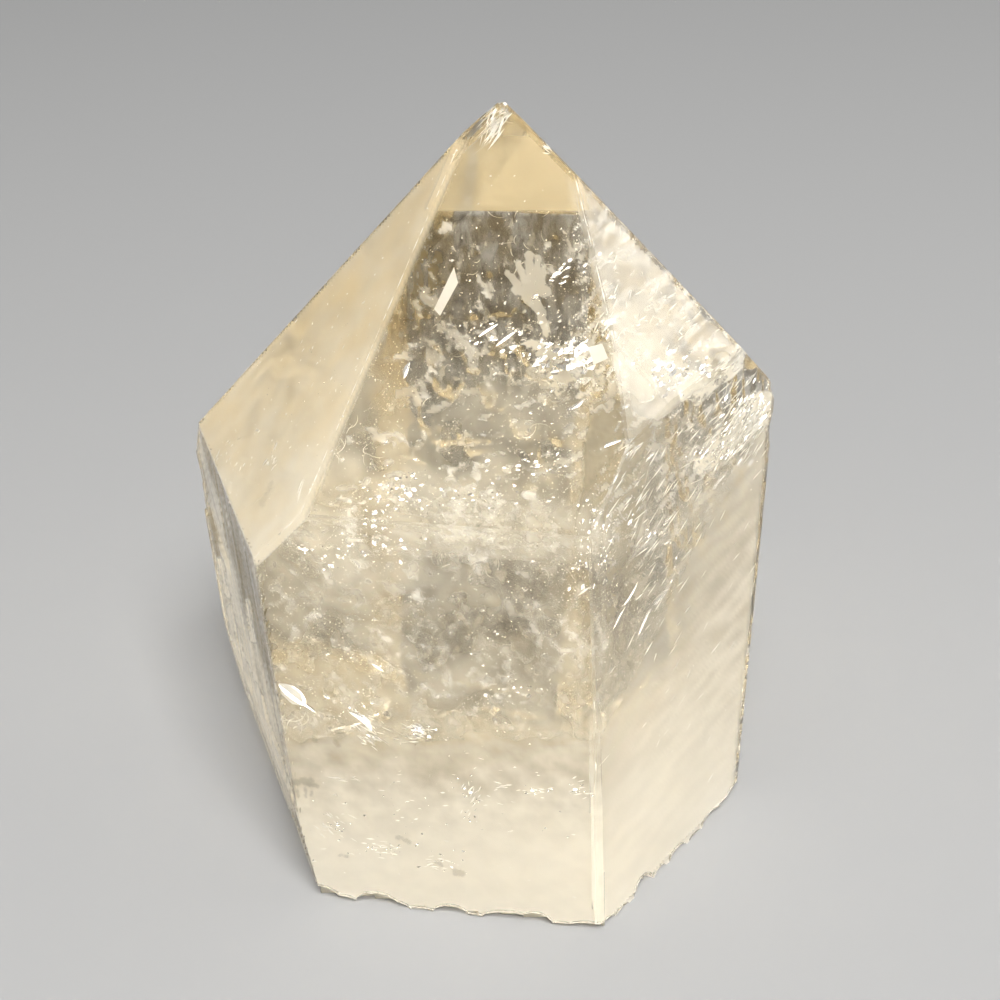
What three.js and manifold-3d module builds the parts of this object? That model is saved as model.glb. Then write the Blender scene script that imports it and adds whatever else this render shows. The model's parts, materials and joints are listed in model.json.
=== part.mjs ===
// A polished quartz point, about 85 mm tall, standing on its sawn and chipped base.
//
// The crystal is one solid. Its flat faces are planes, each given by the compass direction it
// faces, its lean above the horizon and its distance from the centre of the foot. The planes
// are intersected into a convex body with fine worn edges. Chips, flutes, ribs, pits and growth
// steps are then cut out of that body. Units are millimetres, +Z is up and -Y is the front.

import * as THREE from 'three';
import { ConvexGeometry } from 'three/addons/geometries/ConvexGeometry.js';
import { mergeVertices } from 'three/addons/utils/BufferGeometryUtils.js';
import Module from 'manifold-3d';

const wasm = await Module();
wasm.setup();

// ---------------------------------------------------------------- driving dimensions

// Every face: [azimuth of its outward normal, lean of that normal above the horizon, reach].
// Angles are in degrees. The reach is the distance from the centre of the foot to the plane.
const FACES = {
  front: [-101.2, -0.5, 30.8],
  right: [-40.3, 0.9, 31.52],
  left: [-160.9, -1.6, 27.69],
  rightBack: [19.3, -3.1, 24.33],
  leftBack: [135.0, 0.0, 27.07],
  back: [79.4, 0.0, 33.34],
  frontSlope: [-101.2, 37.8, 57.52],
  rightSlope: [-41.5, 36.7, 61.56],
  leftSlope: [-159.0, 37.7, 52.73],
  rightBackSlope: [19.9, 38.8, 55.23],
  leftBackSlope: [139.6, 37.4, 45.71],
  backSlope: [79.4, 38.2, 57.71],
  cornerFacet: [-49.4, 34.4, 60.65],
  foot: [0, -90, 0],
};

// The low bevel on the left wall: the height where it starts, and how far it falls in, in degrees.
const LEFT_FOOT_HEIGHT = 13;
const LEFT_FOOT_FALL = 5;
// How wide the handling wear along a sharp edge is.
const EDGE_WEAR = 0.34;
// How far one bite out of the rim is rolled against the next, in radians over the whole rim.
const BITE_ROLL = 7;
const BODY_COLOUR = 0xe2d3ae;

// Edges that carry a narrow worn strip, as pairs of face names.
const WORN_EDGES = [
  ['front', 'left'], ['front', 'right'], ['right', 'rightBack'], ['left', 'leftBack'],
  ['front', 'frontSlope'], ['front', 'leftSlope'], ['left', 'leftSlope'],
  ['leftSlope', 'frontSlope'], ['frontSlope', 'rightSlope'], ['rightSlope', 'right'],
  ['right', 'frontSlope'], ['right', 'rightBackSlope'], ['rightSlope', 'rightBackSlope'],
  ['frontSlope', 'rightBackSlope'], ['frontSlope', 'leftBackSlope'],
  ['leftSlope', 'leftBackSlope'], ['left', 'leftBackSlope'], ['leftBack', 'leftBackSlope'],
  ['leftBackSlope', 'rightBackSlope'], ['leftBackSlope', 'backSlope'],
  ['rightBackSlope', 'backSlope'], ['rightBackSlope', 'rightBack'], ['backSlope', 'back'],
  ['leftBackSlope', 'back'], ['rightBack', 'back'], ['leftBack', 'back'],
  ['cornerFacet', 'frontSlope'], ['cornerFacet', 'rightSlope'], ['cornerFacet', 'right'],
];

// Chips along the foot of one wall. Places run from 0 at the first corner to 1 at the second.
// Each chip: [place, length along the edge, height up the wall, depth into the foot].
const RIM_CHIPS = [
  {
    wall: 'front', from: 'left', to: 'right',
    chips: [
      [0.01, 7.0, 2.4, 2.6], [0.10, 5.2, 1.0, 2.0], [0.235, 5.4, 2.1, 3.0],
      [0.30, 3.4, 1.0, 1.8], [0.39, 3.0, 0.5, 1.2], [0.49, 4.4, 1.4, 2.6],
      [0.57, 2.8, 0.5, 1.4], [0.70, 7.4, 1.5, 3.2], [0.78, 4.2, 1.9, 2.4],
      [0.88, 4.6, 0.8, 1.6], [0.97, 6.4, 1.3, 2.8],
    ],
  },
  {
    wall: 'right', from: 'front', to: 'rightBack',
    chips: [
      [0.03, 4.2, 1.2, 2.0], [0.15, 2.6, 0.5, 1.2], [0.30, 3.8, 2.2, 2.2],
      [0.42, 2.4, 0.7, 1.2], [0.55, 3.6, 1.0, 2.0], [0.68, 2.6, 0.4, 1.0],
      [0.80, 4.0, 1.3, 2.2], [0.90, 3.2, 1.1, 1.6], [0.99, 4.4, 1.9, 2.6],
    ],
  },
];

// The walls whose rim the eye meets second take chips at random along their length.
const HIDDEN_RIMS = [
  { wall: 'left', from: 'leftBack', to: 'front', count: 9 },
  { wall: 'leftBack', from: 'left', to: 'back', count: 11 },
  { wall: 'back', from: 'leftBack', to: 'rightBack', count: 7 },
  { wall: 'rightBack', from: 'back', to: 'right', count: 11 },
];

// Bruises along sharp edges and at corners, named by the three faces that meet there.
// The size is [length, width, depth] and the shift is from the corner, along X, Y and Z.
const LEFT_SHOULDER = ['left', 'leftSlope', 'leftBackSlope'];
const RIGHT_SHOULDER = ['right', 'rightBack', 'rightBackSlope'];
const RIGHT_CREST = ['right', 'rightSlope', 'rightBackSlope'];
const SUMMIT = ['frontSlope', 'rightBackSlope', 'leftBackSlope'];
const CORNER_CHIPS = [
  { corner: ['left', 'leftBack', 'leftBackSlope'], size: [19, 8, 2.0], shift: [0, 0, -0.6] },
  { corner: LEFT_SHOULDER, size: [5.5, 3.4, 0.7], shift: [0, 0.4, 1.2] },
  { corner: RIGHT_SHOULDER, size: [8, 4, 1.0], shift: [0, 0, 1.0] },
  { corner: RIGHT_SHOULDER, size: [4.6, 3, 0.8], shift: [-0.8, -1.2, 4.2] },
  { corner: RIGHT_SHOULDER, size: [6.5, 2.6, 0.5], shift: [0, 0, -6.5] },
  { corner: RIGHT_CREST, size: [5, 2.6, 0.5], shift: [1.4, 1.6, -2.6] },
  { corner: RIGHT_CREST, size: [3.6, 2.2, 0.45], shift: [-2.8, -3.2, 0] },
  { corner: ['frontSlope', 'rightSlope', 'rightBackSlope'], size: [4.2, 2.4, 0.5], shift: [0, 0, 0.4] },
  { corner: SUMMIT, size: [3.2, 1.6, 0.5], shift: [1.1, -0.4, -0.9] },
  { corner: ['frontSlope', 'leftSlope', 'leftBackSlope'], size: [3.4, 1.8, 0.35], shift: [0.4, 0, 0.3] },
];

// Splintered grooves at the tip, raked from the summit down the front slope:
// [sideways, down the slope, length, width, depth].
const TIP_SPLINTERS = [
  [0.9, 1.0, 4.4, 0.5, 0.45], [0.1, 1.7, 5.2, 0.55, 0.4], [-0.8, 2.5, 5.6, 0.6, 0.42],
  [-1.7, 3.2, 4.6, 0.5, 0.34], [-2.4, 4.3, 4.8, 0.5, 0.3], [-1.2, 4.4, 3.8, 0.42, 0.26],
  [-3.3, 5.3, 3.6, 0.4, 0.24],
];
const TIP_RAKE = 47;

// Natural texture of the unpolished walls.
const FLUTES = {
  wall: 'left', count: 36, across: [-14, 21.5], up: [3, 44],
  length: [7, 26], width: [0.5, 1.5], depth: [0.14, 0.42], heading: 90, tilt: 3,
};
const RIBS = {
  wall: 'back', count: 16, across: [-19, 13], up: [5, 46],
  length: [8, 22], width: [0.8, 1.8], depth: [0.3, 0.6], heading: 90, tilt: 4,
};
const STRIAE = [
  {
    wall: 'leftBack', count: 12, across: [-22, 12], up: [4, 36],
    length: [6, 22], width: [0.4, 0.9], depth: [0.06, 0.16], heading: 0, tilt: 2,
  },
  {
    wall: 'rightBack', count: 12, across: [-22, 14], up: [4, 46],
    length: [6, 22], width: [0.4, 0.9], depth: [0.06, 0.16], heading: 0, tilt: 2,
  },
];
const PITS = [
  { wall: 'leftBack', count: 12, across: [-24, 14], up: [4, 36], size: [1.6, 4.4], depth: [0.12, 0.3] },
  { wall: 'rightBack', count: 8, across: [-24, 16], up: [4, 46], size: [1.4, 3.6], depth: [0.1, 0.26] },
];

// The back wall is hammered all over: shallow hollows overlap on a loose grid.
const HAMMERED = {
  wall: 'back', across: [-18, 13], up: [2, 49], pitch: 5.2,
  size: [6.2, 8.8], depth: [0.24, 0.46],
};

// Growth steps: a thin wedge is missing from one part of a wall.
// Each step: wall, centre [across, up], extent [across, up], turn in degrees, depth.
const GROWTH_STEPS = [
  { wall: 'back', centre: [-12, 36], extent: [16, 13], turn: 5, depth: 0.6 },
  { wall: 'back', centre: [6, 12], extent: [20, 13], turn: -6, depth: 0.7 },
  { wall: 'left', centre: [-9, 36], extent: [15, 11], turn: 4, depth: 0.4 },
  { wall: 'left', centre: [12, 20], extent: [13, 8], turn: -5, depth: 0.3 },
];

// ---------------------------------------------------------------- small helpers

const degrees = THREE.MathUtils.degToRad;

// Repeatable random numbers between 0 and 1.
function makeRandom(seed) {
  let state = seed >>> 0;
  return () => {
    state = (state + 0x6d2b79f5) >>> 0;
    let mixed = Math.imul(state ^ (state >>> 15), 1 | state);
    mixed = (mixed + Math.imul(mixed ^ (mixed >>> 7), 61 | mixed)) ^ mixed;
    return ((mixed ^ (mixed >>> 14)) >>> 0) / 4294967296;
  };
}

function between(random, [low, high]) {
  return low + (high - low) * random();
}

function toSolid(geometry) {
  const bare = geometry.clone();
  bare.deleteAttribute('normal');
  bare.deleteAttribute('uv');
  const merged = mergeVertices(bare, 1e-5);
  return new wasm.Manifold(new wasm.Mesh({
    numProp: 3,
    vertProperties: new Float32Array(merged.attributes.position.array),
    triVerts: new Uint32Array(merged.index.array),
  }));
}

function toGeometry(solid) {
  const mesh = solid.getMesh();
  const geometry = new THREE.BufferGeometry();
  geometry.setAttribute('position', new THREE.BufferAttribute(mesh.vertProperties, 3));
  geometry.setIndex(new THREE.BufferAttribute(mesh.triVerts, 1));
  geometry.computeVertexNormals();
  return geometry;
}

// ---------------------------------------------------------------- planes

function direction(azimuth, lean) {
  const flat = Math.cos(degrees(lean));
  return new THREE.Vector3(
    Math.cos(degrees(azimuth)) * flat,
    Math.sin(degrees(azimuth)) * flat,
    Math.sin(degrees(lean)),
  );
}

const planes = {};
for (const [name, [azimuth, lean, reach]] of Object.entries(FACES)) {
  planes[name] = { normal: direction(azimuth, lean), reach };
}

function meet(a, b, c) {
  const cross = new THREE.Vector3().crossVectors(b.normal, c.normal);
  const volume = a.normal.dot(cross);
  if (Math.abs(volume) < 1e-6) return null;
  const point = cross.multiplyScalar(a.reach);
  point.addScaledVector(new THREE.Vector3().crossVectors(c.normal, a.normal), b.reach);
  point.addScaledVector(new THREE.Vector3().crossVectors(a.normal, b.normal), c.reach);
  return point.divideScalar(volume);
}

function corner(names) {
  return meet(...names.map((name) => planes[name]));
}

// The strip that wear leaves where two faces meet, as one more plane.
function wornStrip([first, second]) {
  const a = planes[first];
  const b = planes[second];
  const normal = a.normal.clone().add(b.normal).normalize();
  const turn = a.normal.angleTo(b.normal);
  const edgeReach = (a.reach + b.reach) / (2 * Math.cos(turn / 2));
  return { normal, reach: edgeReach - (EDGE_WEAR / 2) * Math.tan(turn / 2) };
}

// The low bevel along the foot of the left wall, hinged on a level line up that wall.
function leftFootBevel() {
  const [azimuth, lean] = FACES.left;
  const wall = planes.left;
  const hinge = wall.normal.clone().multiplyScalar(wall.reach);
  const rise = wallFrame('left').up;
  hinge.addScaledVector(rise, (LEFT_FOOT_HEIGHT - hinge.z) / rise.z);
  const normal = direction(azimuth, lean - LEFT_FOOT_FALL);
  return { normal, reach: normal.dot(hinge) };
}

// Tangent directions and middle of one wall: across runs level, up runs up the wall.
function wallFrame(name) {
  const { normal, reach } = planes[name];
  const across = new THREE.Vector3(-normal.y, normal.x, 0).normalize();
  const up = new THREE.Vector3().crossVectors(normal, across);
  const middle = normal.clone().multiplyScalar(reach);
  middle.addScaledVector(up, -middle.z / up.z);
  return { normal, across, up, middle };
}

function onWall(frame, across, up) {
  return frame.middle.clone()
    .addScaledVector(frame.across, across)
    .addScaledVector(frame.up, up);
}

function convexBody(list) {
  const points = [];
  const inside = (point) => list.every((p) => p.normal.dot(point) <= p.reach + 1e-6);
  for (let i = 0; i < list.length; i += 1) {
    for (let j = i + 1; j < list.length; j += 1) {
      for (let k = j + 1; k < list.length; k += 1) {
        const point = meet(list[i], list[j], list[k]);
        if (point && inside(point)) points.push(point);
      }
    }
  }
  return new ConvexGeometry(points);
}

// ---------------------------------------------------------------- cutters

// A cutter's own X runs along the mark, its Y across it and its Z out of the surface.
function place(geometry, point, along, outward) {
  const z = outward.clone().normalize();
  const x = along.clone().addScaledVector(z, -along.dot(z)).normalize();
  const y = new THREE.Vector3().crossVectors(z, x);
  const basis = new THREE.Matrix4().makeBasis(x, y, z).setPosition(point);
  return toSolid(geometry.clone().applyMatrix4(basis));
}

const ball = new THREE.IcosahedronGeometry(1, 2);
const roughBall = new THREE.IcosahedronGeometry(1, 1);
const spindle = new THREE.OctahedronGeometry(1, 0);

// A shallow shell-shaped chip. The ball sits mostly outside the surface, so the cut is a cap.
function scallop(shape, point, along, outward, length, width, depth) {
  const rise = 1.5;
  const radius = 1 + rise;
  const spread = Math.sqrt(1 - (rise / radius) ** 2);
  const cap = shape.clone();
  cap.scale(length / 2 / spread, width / 2 / spread, depth * radius);
  return place(cap, point.clone().addScaledVector(outward, depth * rise), along, outward);
}

// A groove that is widest and deepest in its middle and runs out to nothing at both ends.
function groove(point, along, outward, length, width, depth) {
  const splinter = spindle.clone();
  splinter.scale(length / 2, width / 2, depth);
  return place(splinter, point, along, outward);
}

// ---------------------------------------------------------------- what is cut away

function rimChip(wallName, from, to, [where, length, height, depth]) {
  const start = corner([wallName, from, 'foot']);
  const end = corner([wallName, to, 'foot']);
  const point = start.clone().lerp(end, where);
  const along = end.clone().sub(start).normalize();
  const outward = planes[wallName].normal.clone();
  outward.setZ(0).normalize();
  const bite = roughBall.clone();
  bite.rotateX(BITE_ROLL * where);
  bite.scale(length / 2, height, depth);
  return place(bite, point, along, outward);
}

function rimChips() {
  const random = makeRandom(11);
  const chips = [];
  for (const { wall, from, to, chips: list } of RIM_CHIPS) {
    for (const chip of list) chips.push(rimChip(wall, from, to, chip));
  }
  for (const { wall, from, to, count } of HIDDEN_RIMS) {
    for (let i = 0; i < count; i += 1) {
      const where = (i + random()) / count;
      const length = between(random, [2.4, 6.4]);
      const height = between(random, [0.4, 2.0]);
      const depth = between(random, [1.0, 2.8]);
      chips.push(rimChip(wall, from, to, [where, length, height, depth]));
    }
  }
  return chips;
}

function cornerChips() {
  return CORNER_CHIPS.map(({ corner: names, size, shift }) => {
    const outward = new THREE.Vector3();
    for (const name of names) outward.add(planes[name].normal);
    outward.normalize();
    const point = corner(names).add(new THREE.Vector3(...shift));
    const edge = new THREE.Vector3().crossVectors(
      planes[names[0]].normal,
      planes[names[1]].normal,
    );
    return scallop(ball, point, edge, outward, ...size);
  });
}

function tipSplinters() {
  const frame = wallFrame('frontSlope');
  const summit = corner(SUMMIT);
  const rake = frame.across.clone().multiplyScalar(Math.cos(degrees(TIP_RAKE)));
  rake.addScaledVector(frame.up, Math.sin(degrees(TIP_RAKE)));
  return TIP_SPLINTERS.map(([sideways, down, length, width, depth]) => {
    const point = summit.clone()
      .addScaledVector(frame.across, sideways)
      .addScaledVector(frame.up, -down);
    return groove(point, rake, frame.normal, length, width, depth);
  });
}

function wallGrooves({ wall, count, across, up, length, width, depth, heading, tilt }, seed) {
  const random = makeRandom(seed);
  const frame = wallFrame(wall);
  const cuts = [];
  for (let i = 0; i < count; i += 1) {
    const point = onWall(frame, between(random, across), between(random, up));
    const turn = degrees(heading + between(random, [-tilt, tilt]));
    const along = frame.across.clone().multiplyScalar(Math.cos(turn));
    along.addScaledVector(frame.up, Math.sin(turn));
    const size = [length, width, depth].map((range) => between(random, range));
    cuts.push(groove(point, along, frame.normal, ...size));
  }
  return cuts;
}

function wallPits({ wall, count, across, up, size, depth }, seed) {
  const random = makeRandom(seed);
  const frame = wallFrame(wall);
  const cuts = [];
  for (let i = 0; i < count; i += 1) {
    const point = onWall(frame, between(random, across), between(random, up));
    const turn = random() * Math.PI;
    const along = frame.up.clone().multiplyScalar(Math.cos(turn));
    along.addScaledVector(frame.across, Math.sin(turn));
    const length = between(random, size);
    const width = length * between(random, [0.5, 0.9]);
    cuts.push(scallop(roughBall, point, along, frame.normal, length, width, between(random, depth)));
  }
  return cuts;
}

function hammeredWall({ wall, across, up, pitch, size, depth }, seed) {
  const random = makeRandom(seed);
  const frame = wallFrame(wall);
  const cuts = [];
  for (let u = across[0]; u <= across[1]; u += pitch) {
    for (let v = up[0]; v <= up[1]; v += pitch) {
      const spread = [-pitch / 2, pitch / 2];
      const middle = onWall(frame, u + between(random, spread), v + between(random, spread));
      const length = between(random, size);
      const width = length * between(random, [0.6, 0.9]);
      const dent = between(random, depth);
      cuts.push(scallop(roughBall, middle, frame.up, frame.normal, length, width, dent));
    }
  }
  return cuts;
}

// A wedge that bites deepest along its lower edge and runs out at its upper edge.
function growthStep({ wall, centre, extent, turn, depth }) {
  const frame = wallFrame(wall);
  const [width, height] = extent;
  const outline = new THREE.Shape([
    new THREE.Vector2(-height / 2, -depth),
    new THREE.Vector2(height / 2, 0),
    new THREE.Vector2(height / 2, 1),
    new THREE.Vector2(-height / 2 - depth, 1),
  ]);
  const wedge = new THREE.ExtrudeGeometry(outline, { depth: width, bevelEnabled: false });
  wedge.translate(0, 0, -width / 2);
  wedge.rotateX(Math.PI / 2);
  const along = frame.up.clone().multiplyScalar(Math.cos(degrees(turn)));
  along.addScaledVector(frame.across, Math.sin(degrees(turn)));
  return place(wedge, onWall(frame, ...centre), along, frame.normal);
}

// ---------------------------------------------------------------- the crystal

function crystalGeometry() {
  const strips = WORN_EDGES.map(wornStrip);
  let body = toSolid(convexBody([...Object.values(planes), leftFootBevel(), ...strips]));
  const cuts = [
    ...GROWTH_STEPS.map(growthStep),
    ...wallGrooves(FLUTES, 21),
    ...wallGrooves(RIBS, 22),
    ...STRIAE.flatMap((field, index) => wallGrooves(field, 25 + index)),
    ...PITS.flatMap((field, index) => wallPits(field, 31 + index)),
    ...hammeredWall(HAMMERED, 41),
    ...rimChips(),
    ...cornerChips(),
    ...tipSplinters(),
  ];
  for (const cut of cuts) body = body.subtract(cut);
  const geometry = toGeometry(body);
  geometry.computeBoundingBox();
  const box = geometry.boundingBox;
  geometry.translate(-(box.min.x + box.max.x) / 2, -(box.min.y + box.max.y) / 2, -box.min.z);
  return geometry;
}

const quartz = new THREE.MeshStandardMaterial({
  color: BODY_COLOUR,
  roughness: 0.08,
  metalness: 0,
  transparent: true,
  opacity: 0.6,
});

const crystal = new THREE.Mesh(crystalGeometry(), quartz);
crystal.name = 'crystal';

const point = new THREE.Group();
point.add(crystal);

export default point;
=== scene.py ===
import itertools
import json
import math
import random

import bmesh
import bpy
from mathutils import Matrix, Quaternion, Vector, noise
from mathutils.bvhtree import BVHTree
from mathutils.geometry import delaunay_2d_cdt
from mathutils.kdtree import KDTree

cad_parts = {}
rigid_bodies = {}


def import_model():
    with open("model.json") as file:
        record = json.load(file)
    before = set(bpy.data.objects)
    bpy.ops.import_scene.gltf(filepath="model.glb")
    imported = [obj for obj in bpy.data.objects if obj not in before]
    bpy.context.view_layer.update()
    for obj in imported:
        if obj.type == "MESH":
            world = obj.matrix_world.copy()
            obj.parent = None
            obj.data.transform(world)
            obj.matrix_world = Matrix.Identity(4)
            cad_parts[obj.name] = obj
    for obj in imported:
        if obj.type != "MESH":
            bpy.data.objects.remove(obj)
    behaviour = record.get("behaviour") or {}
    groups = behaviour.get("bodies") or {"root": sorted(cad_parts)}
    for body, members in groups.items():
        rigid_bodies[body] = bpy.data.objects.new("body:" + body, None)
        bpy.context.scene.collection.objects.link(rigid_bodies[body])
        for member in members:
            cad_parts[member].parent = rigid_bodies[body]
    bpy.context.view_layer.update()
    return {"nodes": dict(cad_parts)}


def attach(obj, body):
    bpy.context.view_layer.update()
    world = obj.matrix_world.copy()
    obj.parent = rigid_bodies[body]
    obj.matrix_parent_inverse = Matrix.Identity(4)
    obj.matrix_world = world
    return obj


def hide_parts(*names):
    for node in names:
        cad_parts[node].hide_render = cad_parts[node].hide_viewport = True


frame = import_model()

MM = 0.001
QUARTZ_IOR = 1.544

# ---------------------------------------------------------------- camera

CAMERA_PLACE = Vector((3.145, -162.119, 144.95)) * MM
CAMERA_PITCH = math.radians(34.19)
CAMERA_ROLL = math.radians(-1.92)
FOCAL_PIXELS = 1700.0
IMAGE_PIXELS = 1000.0
SENSOR_MM = 36.0

VIEW_FORWARD = Vector((0, math.cos(CAMERA_PITCH), -math.sin(CAMERA_PITCH)))
LEVEL_RIGHT = Vector((1, 0, 0))
LEVEL_UP = LEVEL_RIGHT.cross(VIEW_FORWARD)
VIEW_RIGHT = LEVEL_RIGHT * math.cos(CAMERA_ROLL) + LEVEL_UP * math.sin(CAMERA_ROLL)
VIEW_UP = LEVEL_UP * math.cos(CAMERA_ROLL) - LEVEL_RIGHT * math.sin(CAMERA_ROLL)


def make_camera():
    data = bpy.data.cameras.new("camera")
    data.sensor_width = SENSOR_MM
    data.lens = FOCAL_PIXELS / IMAGE_PIXELS * SENSOR_MM
    data.clip_start = 0.01
    camera = bpy.data.objects.new("camera", data)
    turn = Matrix((VIEW_RIGHT, VIEW_UP, -VIEW_FORWARD)).transposed().to_4x4()
    camera.matrix_world = Matrix.Translation(CAMERA_PLACE) @ turn
    bpy.context.scene.collection.objects.link(camera)
    bpy.context.scene.camera = camera


# ---------------------------------------------------------------- lights and floor

# The aim of the lights (m), and per light: azimuth and height (degrees), distance, width and
# height (m) and power (W). The fills aren't mirrored in the polished faces.
AIM = Vector((0, 0, 0.035))
LIGHTS = {
    "key": (-78, 58, 0.9, 0.36, 0.36, 14),
    "right_card": (0, 24, 0.7, 0.5, 0.4, 1.5),
    "front_fill": (-76, 13, 0.8, 0.6, 0.3, 8.5),
    "right_fill": (-28, 18, 0.8, 0.45, 0.4, 6),
    "left_fill": (-160, 14, 0.8, 0.6, 0.3, 7.5),
}
WORLD_COLOUR, WORLD_STRENGTH = (0.97, 0.98, 1, 1), 0.34
FLOOR_COLOUR, FLOOR_ROUGHNESS = (0.325, 0.323, 0.318, 1), 0.9
FLOOR_REACH, FLOOR_DROP = 3, 0.05 * MM
BOUNCES, MIRROR_BOUNCES, SOFT_BOUNCES, CLEAR_BOUNCES = 12, 8, 2, 128


def direction(azimuth, lean):
    flat = math.cos(math.radians(lean))
    turn = math.radians(azimuth)
    return Vector((math.cos(turn) * flat, math.sin(turn) * flat, math.sin(math.radians(lean))))


KEY_WAY = direction(*LIGHTS["key"][:2])


def make_lights():
    world = bpy.data.worlds.new("studio")
    bpy.context.scene.world = world
    world.use_nodes = True
    background = world.node_tree.nodes["Background"]
    background.inputs["Color"].default_value = WORLD_COLOUR
    background.inputs["Strength"].default_value = WORLD_STRENGTH
    world.cycles.sampling_method = "NONE"
    for name, (azimuth, height, distance, wide, high, power) in LIGHTS.items():
        way = direction(azimuth, height)
        data = bpy.data.lights.new(name, "AREA")
        data.shape = "RECTANGLE"
        data.size, data.size_y = wide, high
        data.energy = power
        light = bpy.data.objects.new(name, data)
        light.location = AIM + way * distance
        light.rotation_euler = (-way).to_track_quat("-Z", "Y").to_euler()
        light.visible_glossy = "fill" not in name
        bpy.context.scene.collection.objects.link(light)


def link_lights():
    """The lights reach the inclusions through the crystal alone, and only the key lights the floor."""
    receivers = {"stone": ("quartz_point",), "stone_and_floor": ("quartz_point", "floor")}
    for title, names in receivers.items():
        lit = bpy.data.collections.new(title)
        bpy.context.scene.collection.children.link(lit)
        for name in names:
            lit.objects.link(bpy.data.objects[name])
        for light in bpy.data.objects:
            if light.type == "LIGHT" and (light.name == "key") == ("floor" in names):
                light.light_linking.receiver_collection = lit


def mesh_data(name, mesh):
    data = bpy.data.meshes.new(name)
    mesh.to_mesh(data)
    mesh.free()
    return data


def make_floor():
    mesh = bmesh.new()
    bmesh.ops.create_grid(mesh, x_segments=1, y_segments=1, size=FLOOR_REACH)
    data = mesh_data("floor", mesh)
    floor = bpy.data.objects.new("floor", data)
    floor.location.z = -FLOOR_DROP
    bpy.context.scene.collection.objects.link(floor)
    material, nodes = new_material("floor")
    wire(nodes["out"], Surface=add_node(
        nodes, "BsdfPrincipled", Base_Color=FLOOR_COLOUR, Roughness=FLOOR_ROUGHNESS))
    data.materials.append(material)


def set_render_options():
    cycles = bpy.context.scene.cycles
    cycles.use_light_tree = False
    cycles.max_bounces = BOUNCES
    cycles.transmission_bounces = BOUNCES
    cycles.glossy_bounces = MIRROR_BOUNCES
    cycles.diffuse_bounces = SOFT_BOUNCES
    cycles.transparent_max_bounces = CLEAR_BOUNCES
    bpy.context.scene.view_settings.view_transform = "Standard"


# ---------------------------------------------------------------- the crystal's planes

# The crystal's faces: which way each one looks (azimuth and height in degrees).
FACES = {
    "front": (-101.2, -0.5), "right": (-40.3, 0.9), "left": (-160.9, -1.6),
    "rightBack": (19.3, -3.1), "leftBack": (135.0, 0.0), "back": (79.4, 0.0),
    "frontSlope": (-101.2, 37.8), "rightSlope": (-41.5, 36.7), "leftSlope": (-159.0, 37.7),
    "rightBackSlope": (19.9, 38.8), "leftBackSlope": (139.6, 37.4), "backSlope": (79.4, 38.2),
    "cornerFacet": (-49.4, 34.4), "foot": (0, -90), "leftFoot": (-160.9, -6.6),
}
NODE = frame["nodes"]["crystal"]
NORMALS = {name: direction(*turn) for name, turn in FACES.items()}
REACH = {name: max(n.dot(v.co) for v in NODE.data.vertices) for name, n in NORMALS.items()}
# Faces that pass into each other without a ridge.
WALL_GROUP = {"left": ("left", "leftFoot"), "leftFoot": ("left", "leftFoot")}
# The crystal's true surface once it is built, and how far (mm) from a ridge it is still used.
SKIN = {}
SKIN_BORDER = 0.12


def depth_inside(point):
    return min(REACH[name] - normal.dot(point) for name, normal in NORMALS.items())


def refract(ray, normal, ratio):
    facing = -normal.dot(ray)
    rest = 1 - ratio * ratio * (1 - facing * facing)
    return (ray * ratio + normal * (ratio * facing - math.sqrt(max(rest, 0)))).normalized()


def pixel_ray(x, y):
    across = (x - IMAGE_PIXELS / 2) / FOCAL_PIXELS
    down = (y - IMAGE_PIXELS / 2) / FOCAL_PIXELS
    return (VIEW_FORWARD + VIEW_RIGHT * across - VIEW_UP * down).normalized()


def seen_at(x, y, face, depth):
    """The point that shows at a pixel, this many mm behind one face, and the ray inside."""
    ray = pixel_ray(x, y)
    normal = NORMALS[face]
    start = CAMERA_PLACE + ray * ((REACH[face] - normal.dot(CAMERA_PLACE)) / normal.dot(ray))
    bent = refract(ray, normal, 1 / QUARTZ_IOR)
    return start + bent * depth * MM, bent


def skin_at(x, y, face, depth):
    """As seen_at, but behind the crystal's true, rough surface."""
    ray = pixel_ray(x, y)
    bent = refract(ray, NORMALS[face], 1 / QUARTZ_IOR)
    start = SKIN["tree"].ray_cast(CAMERA_PLACE, ray)[0]
    others = [name for name in NORMALS if name not in WALL_GROUP[face]]
    if not start or min(REACH[name] - NORMALS[name].dot(start) for name in others) < SKIN_BORDER * MM:
        return seen_at(x, y, face, -1)
    return start - NORMALS[face] * depth * MM, bent


def key_inside(face):
    """The way to the key light from inside the crystal, for light that enters by one face."""
    return -refract(-KEY_WAY, NORMALS[face], 1 / QUARTZ_IOR)


# How much weaker and how much finer each layer of a fractal noise is than the last.
LAYER_FADE, LAYER_SCALE = 0.55, 2.1


def fractal(spot, octaves):
    value, weight, total = 0, 1, 0
    for _ in range(octaves):
        value += weight * noise.noise(spot)
        total += weight
        weight *= LAYER_FADE
        spot = spot * LAYER_SCALE
    return value / total


def smooth(value, low, high):
    value = min(max((value - low) / (high - low), 0), 1)
    return value * value * (3 - 2 * value)


# ---------------------------------------------------------------- materials

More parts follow.
